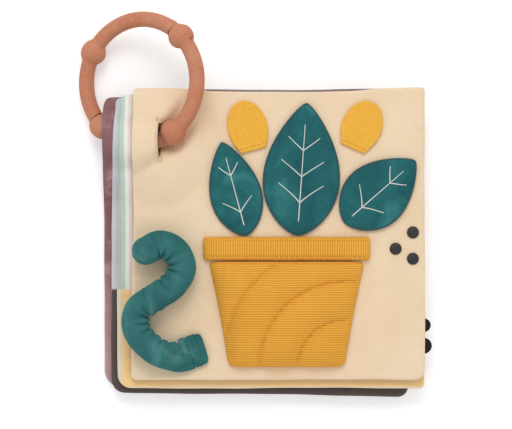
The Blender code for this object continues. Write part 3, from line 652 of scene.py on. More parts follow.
def cutGrid(card):
    # a grid cut open at the buttonhole, with each corner's plan place and its lip, -1 left and 1 right
    low, high = card["slitY"] - cloth["slitHalf"], card["slitY"] + cloth["slitHalf"]
    step = cloth["gridStep"]
    columns = spacedLines(card["left"], card["slitX"], True, False, step)
    slitColumn = len(columns) - 1
    columns += spacedLines(card["slitX"], card["right"], False, True, step)[1:]
    rows = spacedLines(card["bottom"], low, True, False, step)
    slitFirst = len(rows) - 1
    rows += spacedLines(low, high, False, False, step / 2)[1:]
    slitLast = len(rows) - 1
    rows += spacedLines(high, card["top"], False, True, step)[1:]
    bm = bmesh.new()
    bmesh.ops.create_grid(bm, x_segments=len(columns) - 1, y_segments=len(rows) - 1, size=1.0)

    def lineOf(vert):
        return (round((vert.co.x + 1) / 2 * (len(columns) - 1)), round((vert.co.y + 1) / 2 * (len(rows) - 1)))

    cut = []
    for edge in bm.edges:
        ends = [lineOf(vert) for vert in edge.verts]
        if all(column == slitColumn and slitFirst <= row <= slitLast for column, row in ends):
            cut.append(edge)
    bmesh.ops.split_edges(bm, edges=cut)
    bm.verts.index_update()
    count = len(bm.verts)
    x, y, lip = np.zeros(count), np.zeros(count), np.ones(count)
    for vert in bm.verts:
        column, row = lineOf(vert)
        x[vert.index], y[vert.index] = columns[column], rows[row]
        if column < slitColumn:
            lip[vert.index] = -1
        elif column == slitColumn:
            centre = sum(face.calc_center_median().x for face in vert.link_faces) / len(vert.link_faces)
            lip[vert.index] = -1 if centre < vert.co.x else 1
            if slitFirst < row < slitLast:
                opening = math.sqrt(1 - ((rows[row] - card["slitY"]) / cloth["slitHalf"]) ** 2)
                x[vert.index] += lip[vert.index] * cloth["slitGape"] * opening
    return bm, x, y, lip


def roundCorners(card, x, y):  # the ends of the rows are drawn in at the rounded corners
    height = y - card["bottom"]
    for index in range(len(x)):
        lowInset = [cornerInset(height[index], card["corners"][k]) for k in (0, 1)]
        highInset = [cornerInset(card["height"] - height[index], card["corners"][k]) for k in (2, 3)]
        if x[index] < card["slitX"]:
            share = (card["slitX"] - x[index]) / (card["slitX"] - card["left"])
            x[index] += max(lowInset[0], highInset[0]) * share ** 2
        else:
            share = (x[index] - card["slitX"]) / (card["right"] - card["slitX"])
            x[index] -= max(lowInset[1], highInset[1]) * share ** 6


def skinPlaces(card, x, y, lip):  # the pulled outline, and the places of the upper and the lower cloth
    finish, seed, probe = seamFinish, card["seed"], cloth["probe"]
    inset = np.maximum(edgeDistance(card, x, y), 0.0)
    half = halfThickness(card, x, y)
    x, y = pulledPlaces(card, x, y)
    farFromSlit = np.abs(x - card["slitX"]) > cloth["slitGape"] + probe
    slopeX = (clothLevel(card, x + probe, y, lip) - clothLevel(card, x - probe, y, lip)) / (2 * probe)
    slopeX = np.where(farFromSlit, slopeX, 0.0)
    slopeY = (clothLevel(card, x, y + probe, lip) - clothLevel(card, x, y - probe, lip)) / (2 * probe)
    normal = np.stack([-slopeX, -slopeY, np.ones(len(x))], 1)
    normal /= np.linalg.norm(normal, axis=1, keepdims=True)
    middle = np.stack([x, y, clothLevel(card, x, y, lip)], 1)

    fromSides = np.minimum(x - card["left"], card["right"] - x)
    along = np.where(fromSides < np.minimum(y - card["bottom"], card["top"] - y), y, x)
    waves = np.sin(along * finish["puckerWaves"][0] + seed * 5)
    waves = waves + finish["puckerShare"] * np.sin(along * finish["puckerWaves"][1] + seed)
    pucker = finish["pucker"] * np.exp(-((inset - finish["bandInset"]) / finish["bandWidth"]) ** 2) * waves
    dimple = finish["dimple"] * softNoise(x, y, finish["dimpleScale"], seed)
    dimple = dimple + finish["fineDimple"] * softNoise(x, y, finish["fineScale"], seed + 4)
    clear = smoothStep((slitDistance(card, x, y) - finish["clearFrom"]) / finish["clearRamp"])
    wander = np.stack([softNoise(y, x, finish["wanderScales"][0], seed),
                       softNoise(x, y, finish["wanderScales"][1], seed + 2), np.zeros(len(x))], 1)
    atEdge = smoothStep(1 - inset / finish["wanderReach"])[:, None]
    middle += wander * atEdge * finish["wander"] * clear[:, None]
    rollShare = np.clip(inset / cloth["edgeRoll"], 0.0, 1.0)
    pad = (pucker + dimple - finish["settle"]) * rollShare * clear
    tops = middle + normal * (half + np.where(clear > 0, pad, 0.0))[:, None]
    lows = middle - normal * half[:, None]
    if card is frontCard:
        share = (x - card["left"]) / card["width"]
        stretch = smoothStep((share - finish["rollFrom"]) / finish["rollFromRamp"])
        stretch = stretch * smoothStep((finish["rollTo"] - share) / finish["rollToRamp"])
        fromTop = card["top"] - y
        tops[:, 1] -= finish["roll"] * stretch * smoothStep(1 - fromTop / finish["rollFace"])
        back = smoothStep(1 - fromTop / finish["rollBack"])
        lows[:, 2] += finish["backShare"] * finish["roll"] * stretch * back
    return x, y, tops, lows


def cardSkin(name, card):  # one closed skin: upper and lower cloth, the seam round them and the slit's lips
    bm, x, y, lip = cutGrid(card)
    count = len(bm.verts)
    roundCorners(card, x, y)
    x, y, tops, lows = skinPlaces(card, x, y, lip)
    for vert in bm.verts:
        vert.co = tops[vert.index]
    made = bmesh.ops.duplicate(bm, geom=wholeOf(bm))
    partner = {}
    for first, second in made["vert_map"].items():
        if isinstance(first, bmesh.types.BMVert) and first.index < count:
            partner[first] = second
    order = {vert: vert.index for vert in partner}
    for vert, copy in partner.items():
        copy.co = lows[order[vert]]
    lowerFaces = [item for item in made["geom"] if isinstance(item, bmesh.types.BMFace)]
    bmesh.ops.reverse_faces(bm, faces=lowerFaces)
    for face in lowerFaces:
        face.material_index = 1
    rims = [edge for edge in bm.edges if edge.is_boundary]

    def atSlit(edge):
        ends = [order[vert] for vert in edge.verts if vert in order]
        beside = all(abs(x[k] - card["slitX"]) < 2 * cloth["slitGape"] for k in ends)
        return len(ends) == 2 and beside and all(
            abs(y[k] - card["slitY"]) < cloth["slitHalf"] + 2 * cloth["probe"] for k in ends)

    slitUpper = [edge for edge in rims if atSlit(edge)]
    slitKeys = {frozenset(partner[vert] for vert in edge.verts) for edge in slitUpper}
    slitLower = [edge for edge in rims if frozenset(edge.verts) in slitKeys]
    slitEdges = set(slitUpper) | set(slitLower)
    bmesh.ops.bridge_loops(bm, edges=[edge for edge in rims if edge not in slitEdges])
    for face in bm.faces:
        if len({vert in order for vert in face.verts}) == 2:
            face.material_index = 2
    made = bmesh.ops.bridge_loops(bm, edges=slitUpper + slitLower)
    for face in made["faces"]:
        face.material_index = 0
    bmesh.ops.recalc_face_normals(bm, faces=bm.faces)
    return toObject(bm, name, card["faces"])


def giveAtRing(piece):  # bakes the piece's placing into its mesh
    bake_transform(piece)


for key, card in cardSizes.items():
    skin = cardSkin(f"{key}CardSkin", card)
    giveAtRing(skin)
    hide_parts(f"{key}_card_front_panel", f"{key}_card_back_panel", f"{key}_card_wadding")


satin = {
    "pitch": 0.00095, "halfLength": 0.0011, "halfWidth": 0.00036, "flatShare": 0.7, "overShare": 0.8,
    "lift": 0.00002, "barLength": 0.0019, "barPitch": 0.0006, "barCount": 5, "barLift": 0.00008,
}


def addBead(bm, place, size, around=8, along=5):  # one stitch: a small ellipsoid
    bmesh.ops.create_uvsphere(bm, u_segments=around, v_segments=along, radius=1.0,
                              matrix=place @ Matrix.Diagonal((*size, 1.0)))


def buttonholeStitches(name, card, side, thread):
    # satin stitches over both lips and a bar tack across each end, on the upper (side 1) or the lower face
    count = round(2 * cloth["slitHalf"] / satin["pitch"])
    halfLength, halfWidth, probe = satin["halfLength"], satin["halfWidth"], cloth["probe"]
    bm = bmesh.new()
    for lip in (-1, 1):
        for index in range(count):
            y = card["slitY"] - cloth["slitHalf"] + (index + 0.5) * satin["pitch"]
            opening = math.sqrt(max(1 - ((y - card["slitY"]) / cloth["slitHalf"]) ** 2, 0.0))
            x = card["slitX"] + lip * (cloth["slitGape"] * opening + satin["overShare"] * halfLength)
            away = np.array([x - probe, x + probe])
            levels = clothLevel(card, away, np.array([y, y]), np.array([lip, lip]))
            half = halfThickness(card, np.array([x]), np.array([y]))[0]
            slope = (levels[1] - levels[0]) / (2 * probe)
            along = Vector((1, 0, slope)).normalized()
            up = Vector((-slope, 0, 1)).normalized() * side
            turn = Matrix((along, up.cross(along), up)).transposed().to_4x4()
            turn.translation = Vector((x, y, levels.mean())) + up * (half + satin["lift"])
            addBead(bm, turn, (halfLength, halfWidth, halfWidth * satin["flatShare"]))
    for end in (-1, 1):
        for index in range(satin["barCount"]):
            x = card["slitX"]
            y = card["slitY"] + end * (cloth["slitHalf"] + (index - 1) * satin["barPitch"])
            level = max(clothLevel(card, x, y, lip) * side for lip in (-1, 1)) * side
            half = halfThickness(card, np.array([x]), np.array([y]))[0]
            place = Matrix.Translation((x, y, level + side * (half + satin["barLift"])))
            addBead(bm, place, (satin["barLength"], halfWidth, halfWidth))
    return toObject(bm, name, [thread])


for key, side, thread, slotName in (("front", 1, creamThread, "cream_cotton"),
                                    ("back", -1, plumThread, "plum_velour")):
    seam = buttonholeStitches(f"{key}ButtonholeStitches", cardSizes[key], side, thread)
    giveAtRing(seam)
print("cards ready")


# the ring: swept halves whose tube swells into balls

ringPlace = Matrix.Translation((ring["x"], ring["y"], ring["z"])) @ Matrix.Rotation(-ring["tilt"], 4, "Y")
# pin and stud are radii; anchor: how far the gate's neck and stud reach into its own tube
clampDetails = {
    "tongue": 0.0040, "neckWidth": 0.0064, "pin": 0.0012, "pinLength": 0.0112, "pinRound": 0.0002,
    "stud": 0.0016, "studLength": 0.0046, "anchor": 0.0020, "step": math.radians(1.6), "sides": 32,
    "sharp": math.radians(35), "fillet": 9,
    "capShares": (0.9995, 0.985, 0.95, 0.88, 0.78, 0.66, 0.52, 0.36, 0.18),
}
ring["clasp"] = ring["hinge"] + math.pi


def ringPoint(angle):
    return Vector((ring["radius"] * math.cos(angle), ring["radius"] * math.sin(angle), 0.0))


def ringAlong(angle):
    return Vector((-math.sin(angle), math.cos(angle), 0.0))


def tubeRadius(angle, knobs):  # the tube swells into a ball with a moulded fillet where they meet
    radius = ring["tube"]
    for knob in knobs:
        away = abs(angle - knob) * ring["radius"]
        ball = math.sqrt(max(ring["ball"] ** 2 - away ** 2, 0.0))
        power = clampDetails["fillet"]
        radius = (radius ** power + ball ** power) ** (1 / power)
    return radius


def ringHalf(name, start, end, knobs, capStart, capEnd):
    # capStart and capEnd carry the half on past its last knob as the rest of that ball
    direction = 1 if end > start else -1
    reach = ring["ball"] / ring["radius"]
    points, radii = [], []
    capShares = clampDetails["capShares"]
    if capStart:
        for share in capShares:
            points.append(ringPoint(start - direction * reach * share))
            radii.append(ring["ball"] * math.sqrt(1 - share ** 2))
    steps = round(abs(end - start) / clampDetails["step"])
    for step in range(steps + 1):
        angle = start + (end - start) * step / steps
        points.append(ringPoint(angle))
        radii.append(tubeRadius(angle, knobs))
    if capEnd:
        for share in reversed(capShares):
            points.append(ringPoint(end + direction * reach * share))
            radii.append(ring["ball"] * math.sqrt(1 - share ** 2))
    return sweepTube(name, points, radii, terracotta, clampDetails["sides"])


def cutter(name, radius, length, place, along, segments=48):  # a round bar, to cut with or to add
    bm = bmesh.new()
    turn = Vector(along).to_track_quat("Z", "Y").to_matrix().to_4x4()
    turn.translation = place
    bmesh.ops.create_cone(bm, cap_ends=True, segments=segments, radius1=radius, radius2=radius,
                          depth=length, matrix=turn)
    return toObject(bm, name, [], smooth=False)


def shapeBy(piece, tool, operation):  # one Boolean, applied, and its tool removed
    modifier = piece.modifiers.new(tool.name, "BOOLEAN")
    modifier.operation, modifier.object, modifier.solver = operation, tool, "EXACT"
    applyModifiers(piece)
    bpy.data.objects.remove(tool, do_unlink=True)


hingePoint, claspPoint = ringPoint(ring["hinge"]), ringPoint(ring["clasp"])
claspAlong = ringAlong(ring["clasp"])
claspFace = claspPoint - claspAlong * ring["ball"]
clearBall = ring["ball"] + gap
carrier = ringHalf("ringCardHalf", ring["hinge"], ring["clasp"] - 2 * math.pi,
                   (ring["hinge"], ring["lowerBall"], ring["clasp"] - 2 * math.pi), True, True)
slotThickness = clampDetails["tongue"] + 2 * gap
shapeBy(carrier, cutter("forkSlot", clearBall, slotThickness, hingePoint, (0, 0, 1), 64), "DIFFERENCE")
holeLength = clampDetails["pinLength"] + 2 * gap
pinHole = cutter("pinHole", clampDetails["pin"] + gap, holeLength, hingePoint, (0, 0, 1))
shapeBy(carrier, pinHole, "DIFFERENCE")
socketDepth = clampDetails["studLength"] + 2 * gap
socket = cutter("studSocket", clampDetails["stud"] + gap, 2 * socketDepth, claspFace, claspAlong)
shapeBy(carrier, socket, "DIFFERENCE")

gate = ringHalf("ringGate", ring["hinge"], ring["clasp"], (ring["upperBall"],), False, False)
for centre in (hingePoint, claspPoint):
    bm = bmesh.new()
    bmesh.ops.create_uvsphere(bm, u_segments=48, v_segments=24, radius=clearBall,
                              matrix=Matrix.Translation(centre))
    shapeBy(gate, toObject(bm, "clearance", [], smooth=False), "DIFFERENCE")
neckLength = clearBall + clampDetails["anchor"]
neckMiddle = hingePoint + ringAlong(ring["hinge"]) * neckLength / 2
bm = bmesh.new()
neckTurn = Matrix.Translation(neckMiddle) @ Matrix.Rotation(ring["hinge"], 4, "Z")
bmesh.ops.create_cube(bm, size=1.0)
bmesh.ops.scale(bm, vec=(clampDetails["neckWidth"], neckLength, clampDetails["tongue"]), verts=bm.verts)
bmesh.ops.transform(bm, matrix=neckTurn, verts=bm.verts)
tongue = cutter("tongue", ring["ball"] - gap, clampDetails["tongue"], hingePoint, (0, 0, 1), 64)
shapeBy(tongue, toObject(bm, "neck", [], smooth=False), "UNION")
shapeBy(gate, tongue, "UNION")
tongueHole = cutter("tongueHole", clampDetails["pin"] + gap, 4 * ring["ball"], hingePoint, (0, 0, 1))
shapeBy(gate, tongueHole, "DIFFERENCE")
studMiddle = claspFace + claspAlong * (clampDetails["studLength"] - clampDetails["anchor"]) / 2
studWhole = clampDetails["studLength"] + clampDetails["anchor"]
stud = cutter("stud", clampDetails["stud"], studWhole, studMiddle, claspAlong)
shapeBy(gate, stud, "UNION")
pin = cutter("hingePin", clampDetails["pin"], clampDetails["pinLength"], hingePoint, (0, 0, 1), 32)
pin.data.materials.append(pinSteel)
bm = bmesh.new()
bm.from_mesh(pin.data)
rimEdges = [edge for edge in bm.edges if len(edge.link_faces) == 2 and edge.calc_face_angle() > 1.0]
bmesh.ops.bevel(bm, geom=rimEdges, offset=clampDetails["pinRound"], affect="EDGES", segments=2,
                profile=0.5, material=-1)
bm.to_mesh(pin.data)
bm.free()

for piece, body, node, slotName in ((carrier, "ring", "ring_card_half", "terracotta_plastic"),
                                    (gate, "gate", "ring_gate", "terracotta_plastic"),
                                    (pin, "ring", "ring_hinge_pin", "pin_steel")):
    piece.data.transform(ringPlace)
    piece.data.update()
    if piece is not pin:
        piece.data.materials.clear()
        piece.data.materials.append(terracotta)
        for polygon in piece.data.polygons:
            polygon.material_index = 0
    piece.data.shade_smooth()
    piece.data.set_sharp_from_angle(angle=clampDetails["sharp"])
    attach(piece, body)
    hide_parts(node)
print("ring ready")


# the cover design: plan places are from the front card's centre

coverX = (frontCard["left"] + frontCard["right"]) / 2
coverY = (frontCard["bottom"] + frontCard["top"]) / 2
coverLevel = frontCard["mid"] + cloth["thickness"] / 2 + gap


def coverHeight(x, y):  # the front card's face, drawn up near the buttonhole
    worldX, worldY = np.asarray(x, float) + coverX, np.asarray(y, float) + coverY
    side = np.where(worldX < frontCard["slitX"], -1, 1)
    lifted = clothLevel(frontCard, worldX, worldY, side) + halfThickness(frontCard, worldX, worldY)
    return np.maximum(lifted + gap, coverLevel)


def coverPlace(x, y, z):  # one place of a shape, as a point over the card's flat part
    return x[0] + coverX, y[0] + coverY, coverLevel + z[0]


def patchPiece(name, grid, shape, material, base=0.0001, weld=0.00003, sharp=math.radians(62)):
    # a sewn-down pad: a grid carried to its outline and crown, with a wall down to the card and a flat base
    bm = bmesh.new()
    bmesh.ops.create_grid(bm, x_segments=grid[0], y_segments=grid[1], size=1.0)
    vertices = list(bm.verts)
    u = np.array([vert.co.x for vert in vertices])
    v = np.array([vert.co.y for vert in vertices])
    x, y, z = shape(u, v)
    ground = coverHeight(x, y)
    for index, vert in enumerate(vertices):
        vert.co = (x[index] + coverX, y[index] + coverY, ground[index] + z[index])
    bmesh.ops.remove_doubles(bm, verts=bm.verts, dist=weld)
    made = bmesh.ops.extrude_edge_only(bm, edges=[edge for edge in bm.edges if edge.is_boundary])
    lower = onlyVerts(made)
    grounds = coverHeight([vert.co.x - coverX for vert in lower], [vert.co.y - coverY for vert in lower])
    for vert, level in zip(lower, grounds):
        vert.co.z = level + base
    bottomEdges = [item for item in made["geom"] if isinstance(item, bmesh.types.BMEdge) and item.is_boundary]
    bmesh.ops.holes_fill(bm, edges=bottomEdges)
    bmesh.ops.recalc_face_normals(bm, faces=bm.faces)
    piece = toObject(bm, name, [material])
    piece.data.set_sharp_from_angle(angle=sharp)
    return piece


def rideCover(piece, node=None, body="front_card"):
    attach(piece, body)
    if node:
        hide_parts(node)


def routeLengths(route):  # how far along a route each of its points is
    lengths = [0.0]
    for first, second in zip(route, route[1:]):
        lengths.append(lengths[-1] + (second - first).length)
    return lengths


# proud: how far a stitch's middle lies above the cloth
stitches = {
    "channel": {"length": 0.0026, "pitch": 0.0027, "width": 0.00028, "proud": -0.00002},
    "rim": {"length": 0.0021, "pitch": 0.0029, "width": 0.00028, "proud": 0.00002},
    "bud": {"length": 0.0017, "pitch": 0.0024, "width": 0.00025, "proud": 0.00003},
    "cuff": {"length": 0.0018, "pitch": 0.0025, "width": 0.00028, "proud": 0.00008},
}


def stitchRow(name, points, material, length, pitch, width, proud):
    # running stitches along a route: each lies as a short bead sunk at its ends
    route = [Vector(p) for p in points]
    lengths = routeLengths(route)
    count = int(lengths[-1] / pitch)
    bm = bmesh.new()
    segment = 0
    for index in range(count):
        target = (index + 0.5) * lengths[-1] / count
        while segment < len(lengths) - 2 and lengths[segment + 1] < target:
            segment += 1
        share = (target - lengths[segment]) / max(lengths[segment + 1] - lengths[segment], 1e-9)
        place = route[segment].lerp(route[segment + 1], share) + Vector((0, 0, proud))
        along = (route[segment + 1] - route[segment]).normalized()
        turn = along.to_track_quat("X", "Z").to_matrix().to_4x4()
        turn.translation = place
        addBead(bm, turn, (length / 2, width, width * satin["flatShare"]), 6, 4)
    return toObject(bm, name, [material])


# the pot: puffed needlecord sewn into channels

pot = {"place": (0.0040, -0.0440), "height": 0.0580, "top": 0.0860, "bottom": 0.0640, "puff": 0.0110,
       "skin": 0.0006, "quiltDepth": 0.0034, "seam": 0.0011, "quiltRadii": (0.0260, 0.0470, 0.0680),
       "ribDepth": 0.00016, "corner": 0.0011, "pullIn": 0.0008, "stitchedShare": 0.94,
       "grid": (150, 268)}
potFolds = {
    "seamShare": 0.35, "valleyShare": 0.65, "valley": 0.0048, "gather": 0.00028, "gatherReach": 0.006,
    "sideWaves": (980, 210), "endWaves": (900, 190),
    "crease": 0.00022, "creaseReach": 0.0035, "creaseRays": 46,
    "rumple": 0.00035, "rumpleScale": 120, "calmRise": 0.004,
}


def potWidthAt(v):
    return (pot["bottom"] + (pot["top"] - pot["bottom"]) * (v + 1) / 2) / 2


def quiltDistance(x, y):  # from the nearest of the sewn channels, arcs about the pot's low right corner
    away = np.hypot(x - pot["bottom"] / 2, y + pot["height"] / 2)
    return np.min([np.abs(away - radius) for radius in pot["quiltRadii"]], axis=0)


def potShape(u, v):
    folds, reach = potFolds, potFolds["gatherReach"]
    corner = pot["corner"] * np.abs(u * v) ** 18
    x = u * potWidthAt(v) - np.sign(u) * corner - u * pot["pullIn"] * (1 - v * v)
    y = v * pot["height"] / 2 - np.sign(v) * corner
    puff = pot["puff"] * np.sqrt(np.maximum((1 - u ** 4) * (1 - v ** 4), 0.0))
    away = quiltDistance(x, y)
    sink = folds["seamShare"] * np.exp(-(away / pot["seam"]) ** 2)
    sink = (sink + folds["valleyShare"] * np.exp(-(away / folds["valley"]) ** 2)) * pot["quiltDepth"]
    sideWave, endWave = folds["sideWaves"], folds["endWaves"]
    gatherX = np.exp(-(1 - np.abs(u)) * potWidthAt(v) / reach)
    gatherX = gatherX * np.sin(y * sideWave[0] + 2.0 * np.sin(y * sideWave[1]))
    gatherY = np.exp(-(1 - np.abs(v)) * pot["height"] / 2 / reach)
    gatherY = gatherY * np.sin(x * endWave[0] + 2.0 * np.sin(x * endWave[1]))
    ray = np.arctan2(y + pot["height"] / 2, x - pot["bottom"] / 2)
    crease = np.exp(-away / folds["creaseReach"]) * np.sin(ray * folds["creaseRays"])
    rumple = folds["gather"] * (gatherX + gatherY) + folds["crease"] * crease
    rumple = rumple + folds["rumple"] * softNoise(x, y, folds["rumpleScale"], 0.7)
    inside = np.minimum(puff / folds["calmRise"], 1.0)
    # the ribs' crests lie on the needlecord's painted light bands, the grooves on its painted shade bands
    ribs = -pot["ribDepth"] * np.sin((y + pot["place"][1] + coverY) * 2 * math.pi / ribSpacing)
    z = pot["skin"] + puff - sink * np.minimum(puff / pot["quiltDepth"] / 2, 1.0)
    z = z + rumple * inside + ribs * inside
    return x + pot["place"][0], y + pot["place"][1], z


potPiece = patchPiece("puffedPot", pot["grid"], potShape, needlecord)
rideCover(potPiece, "pot_cover")
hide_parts("pot_filling")

for number, radius in enumerate(pot["quiltRadii"], 1):
    route = []
    for step in range(61):
        turn = math.pi / 2 + math.pi / 2 * step / 60
        x = pot["bottom"] / 2 + radius * math.cos(turn)
        y = -pot["height"] / 2 + radius * math.sin(turn)
        v = 2 * y / pot["height"]
        if abs(v) < pot["stitchedShare"] and abs(x) < pot["stitchedShare"] * potWidthAt(v):
            u = x / potWidthAt(v)
            route.append(coverPlace(*potShape(np.array([u]), np.array([v]))))
    seam = stitchRow(f"potChannelStitches{number}", route, yellowThread, **stitches["channel"])
    rideCover(seam)

rim = {
    "width": 0.0920, "height": 0.0130, "puff": 0.0042, "corner": 0.0007, "abovePot": 0.0006, "skin": 0.0008,
    "seamInset": 0.0021, "seamWidth": 0.0007, "seamDepth": 0.00055, "gather": 0.00014, "waves": (820, 170),
    "ribDepth": 0.00013, "stitchedShare": 0.965, "grid": (300, 34),
}
rim["y"] = pot["place"][1] + (pot["height"] + rim["height"]) / 2 + rim["abovePot"]


def rimShape(u, v):
    corner = rim["corner"] * np.abs(u) ** 60 * np.abs(v) ** 5
    x, y = u * rim["width"] / 2 - np.sign(u) * corner, v * rim["height"] / 2 - np.sign(v) * corner
    crown = np.sqrt(np.maximum((1 - np.abs(u) ** 26) * (1 - v ** 6), 0.0))
    seamLine = np.exp(-((rim["height"] / 2 - np.abs(y) - rim["seamInset"]) / rim["seamWidth"]) ** 2)
    gather = rim["gather"] * np.sin(x * rim["waves"][0] + 2 * np.sin(x * rim["waves"][1])) * (0.3 + seamLine)
    # the rim's ribs lie under rimCord's painted light and painted shade bands
    ribs = -rim["ribDepth"] * np.sin((x + pot["place"][0] + coverX) * 2 * math.pi / ribSpacing)
    z = rim["skin"] + (rim["puff"] - rim["skin"]) * crown - rim["seamDepth"] * seamLine * crown
    z = z + (gather + ribs) * np.minimum(crown * 2, 1)
    return x + pot["place"][0], y + rim["y"], z


rimPiece = patchPiece("potRimBand", rim["grid"], rimShape, rimCord)
rideCover(rimPiece, "pot_rim_band")
for name, side in (("rimStitchesLow", -1), ("rimStitchesTop", 1)):
    route = []
    for step in range(101):
        u = rim["stitchedShare"] * (2 * step / 100 - 1)
        v = side * (1 - 2 * rim["seamInset"] / rim["height"])
        route.append(coverPlace(*rimShape(np.array([u]), np.array([v]))))
    seam = stitchRow(name, route, yellowThread, **stitches["rim"])
    rideCover(seam)

# the leaves: velour with a satin-stitched edge and white embroidered veins

leaves = {
    "leftLeaf": {"node": "left_leaf", "base": (-0.0180, 0.0012), "heading": 105,
                 "length": 0.0520, "width": 0.0280, "veins": 2},
    "middleLeaf": {"node": "middle_leaf", "base": (0.0100, 0.0012), "heading": 86,
                   "length": 0.0720, "width": 0.0420, "veins": 3},
    "rightLeaf": {"node": "right_leaf", "base": (0.0360, 0.0080), "heading": 41,
                  "length": 0.0510, "width": 0.0350, "veins": 2},
}
leafForm = {
    "lean": 0.80, "fullness": 0.75, "edge": 0.0007, "crown": 0.0013, "crownWidth": 0.004, "binding": 0.00055,
    "bindingShare": 0.985, "bindingLift": 0.00005, "dip": 0.0005, "dipWidth": 0.0012, "dipFade": 0.006,
    "ripple": 0.00018, "rippleScale": 170, "grid": (40, 90), "edgeSteps": 70,
}
# shares of the leaf's length: where veins start and how far they run; outShare is of its half width
veinForm = {
    "midribFrom": 0.10, "midribRun": 0.74, "firstFrom": 0.24, "spread": 0.40, "run": 0.145, "runLess": 0.02,
    "outShare": 0.60, "bow": 1.15, "radius": 0.00036, "taper": 0.35, "lift": 0.00012,
}
rimTop = rim["y"] + rim["height"] / 2


def leafFrame(leaf):
    turn = math.radians(leaf["heading"])
    along = Vector((math.cos(turn), math.sin(turn)))
    return Vector((leaf["base"][0], rimTop + leaf["base"][1])), along, Vector((-along.y, along.x))


def leafHalfWidth(share, width):
    share = np.clip(share, 0.0, 1.0)
    return width / 2 * np.maximum(np.sin(math.pi * share ** leafForm["lean"]), 0.0) ** leafForm["fullness"]


def leafPoint(leaf, share, across):
    base, along, side = leafFrame(leaf)
    half = leafHalfWidth(share, leaf["width"])
    x = base.x + along.x * leaf["length"] * share + side.x * half * across
    y = base.y + along.y * leaf["length"] * share + side.y * half * across
    crown = np.sqrt(np.maximum(1 - np.abs(across) ** 4, 0.0)) * np.minimum(half / leafForm["crownWidth"], 1.0)
    veinDip = np.exp(-(half * across / leafForm["dipWidth"]) ** 2) * leafForm["dip"]
    veinDip = veinDip * np.minimum(half / leafForm["dipFade"], 1.0)
    ripple = leafForm["ripple"] * softNoise(x, y, leafForm["rippleScale"], leaf["heading"] * 0.1)
    return x, y, leafForm["edge"] + (leafForm["crown"] + ripple) * crown - veinDip


def lineOnLeaf(leaf, shares, acrosses, lift):
    points = []
    for share, across in zip(shares, acrosses):
        x, y, z = leafPoint(leaf, np.array([share]), np.array([across]))
        points.append(Vector((x[0] + coverX, y[0] + coverY, float(coverHeight(x, y)[0]) + z[0] + lift)))
    return points


for name, leaf in leaves.items():
    piece = patchPiece(name, leafForm["grid"], lambda u, v: leafPoint(leaf, (v + 1) / 2, u), tealVelour)
    rideCover(piece, leaf["node"])
    steps = leafForm["edgeSteps"]
    shares = [0.5 - 0.5 * math.cos(math.pi * step / steps) for step in range(steps + 1)]
    out = leafForm["bindingShare"]
    loop = [(share, -out) for share in shares] + [(share, out) for share in shares[-2:0:-1]]
    route = lineOnLeaf(leaf, [share for share, across in loop], [across for share, across in loop],
                       leafForm["bindingLift"])
    binding = sweepTube(f"{name}Binding", route, [leafForm["binding"]] * len(route), tealThread, 8,
                        closed=True, squashTo=0.75)
    rideCover(binding)
    shares = [veinForm["midribFrom"] + veinForm["midribRun"] * s / 20 for s in range(21)]
    veins = [lineOnLeaf(leaf, shares, [0.0] * 21, veinForm["lift"])]
    for index in range(leaf["veins"]):
        root = veinForm["firstFrom"] + veinForm["spread"] * index / max(leaf["veins"] - 1, 1)
        for side in (-1, 1):
            shares = [root + (veinForm["run"] - veinForm["runLess"] * index) * s / 8 for s in range(9)]
            acrosses = [side * veinForm["outShare"] * (s / 8) ** veinForm["bow"] for s in range(9)]
            veins.append(lineOnLeaf(leaf, shares, acrosses, veinForm["lift"]))
    for index, route in enumerate(veins):
        steps = len(route) - 1
        taper = [veinForm["radius"] * (1 - veinForm["taper"] * k / steps) for k in range(len(route))]
        vein = sweepTube(f"{name}Vein{index}", route, taper, whiteThread, 6, squashTo=0.7)
        rideCover(vein)

# the bud flaps: thick felt topstitched along the root

buds = {
    "leftBudFlap": {"node": "left_bud_flap", "body": "left_bud", "root": (-0.0140, 0.0460), "heading": 105},
    "rightBudFlap": {"node": "right_bud_flap", "body": "right_bud", "root": (0.0400, 0.0470), "heading": 66},
}
budForm = {
    "length": 0.0280, "width": 0.0220, "rootShare": 0.62, "shoulder": 0.45,
    "thickness": 0.0014, "edge": 0.0006,
    "fuzz": 0.00012, "fuzzScale": 260, "seamShare": 0.085, "seamAcross": 0.9,
    "grid": (26, 60), "base": 0.00005,
}


def budPoint(bud, share, across):
    turn = math.radians(bud["heading"])
    along, side = (math.cos(turn), math.sin(turn)), (-math.sin(turn), math.cos(turn))
    shoulder = budForm["shoulder"]
    rise = np.sin(np.clip(share / shoulder, 0, 1) * math.pi / 2)
    low = budForm["rootShare"] + (1 - budForm["rootShare"]) * rise
    high = np.sqrt(np.maximum(1 - (np.clip(share - shoulder, 0, 1) / (1 - shoulder)) ** 2, 0.0))
    half = budForm["width"] / 2 * np.where(share < shoulder, low, high)
    x = bud["root"][0] + along[0] * budForm["length"] * share + side[0] * half * across
    y = bud["root"][1] + along[1] * budForm["length"] * share + side[1] * half * across
    inset = np.minimum(half * (1 - np.abs(across)), budForm["length"] * np.minimum(share, 1 - share))
    roll = 1 - np.clip(inset / budForm["edge"], 0, 1)
    z = budForm["thickness"] - budForm["edge"] * (1 - np.sqrt(1 - roll ** 2))
    return x, y, z + budForm["fuzz"] * softNoise(x, y, budForm["fuzzScale"], 1.0)


for name, bud in buds.items():
    piece = patchPiece(name, budForm["grid"],
                       lambda u, v: budPoint(bud, (v + 1) / 2, np.sin(u * math.pi / 2)),
                       yellowFelt, budForm["base"])
    rideCover(piece, bud["node"], bud["body"])
    route = []
    for step in range(17):
        across = budForm["seamAcross"] * (2 * step / 16 - 1)
        route.append(coverPlace(*budPoint(bud, np.array([budForm["seamShare"]]), np.array([across]))))
    seam = stitchRow(f"{name}Stitches", route, yellowThread, **stitches["bud"])
    rideCover(seam, None, bud["body"])

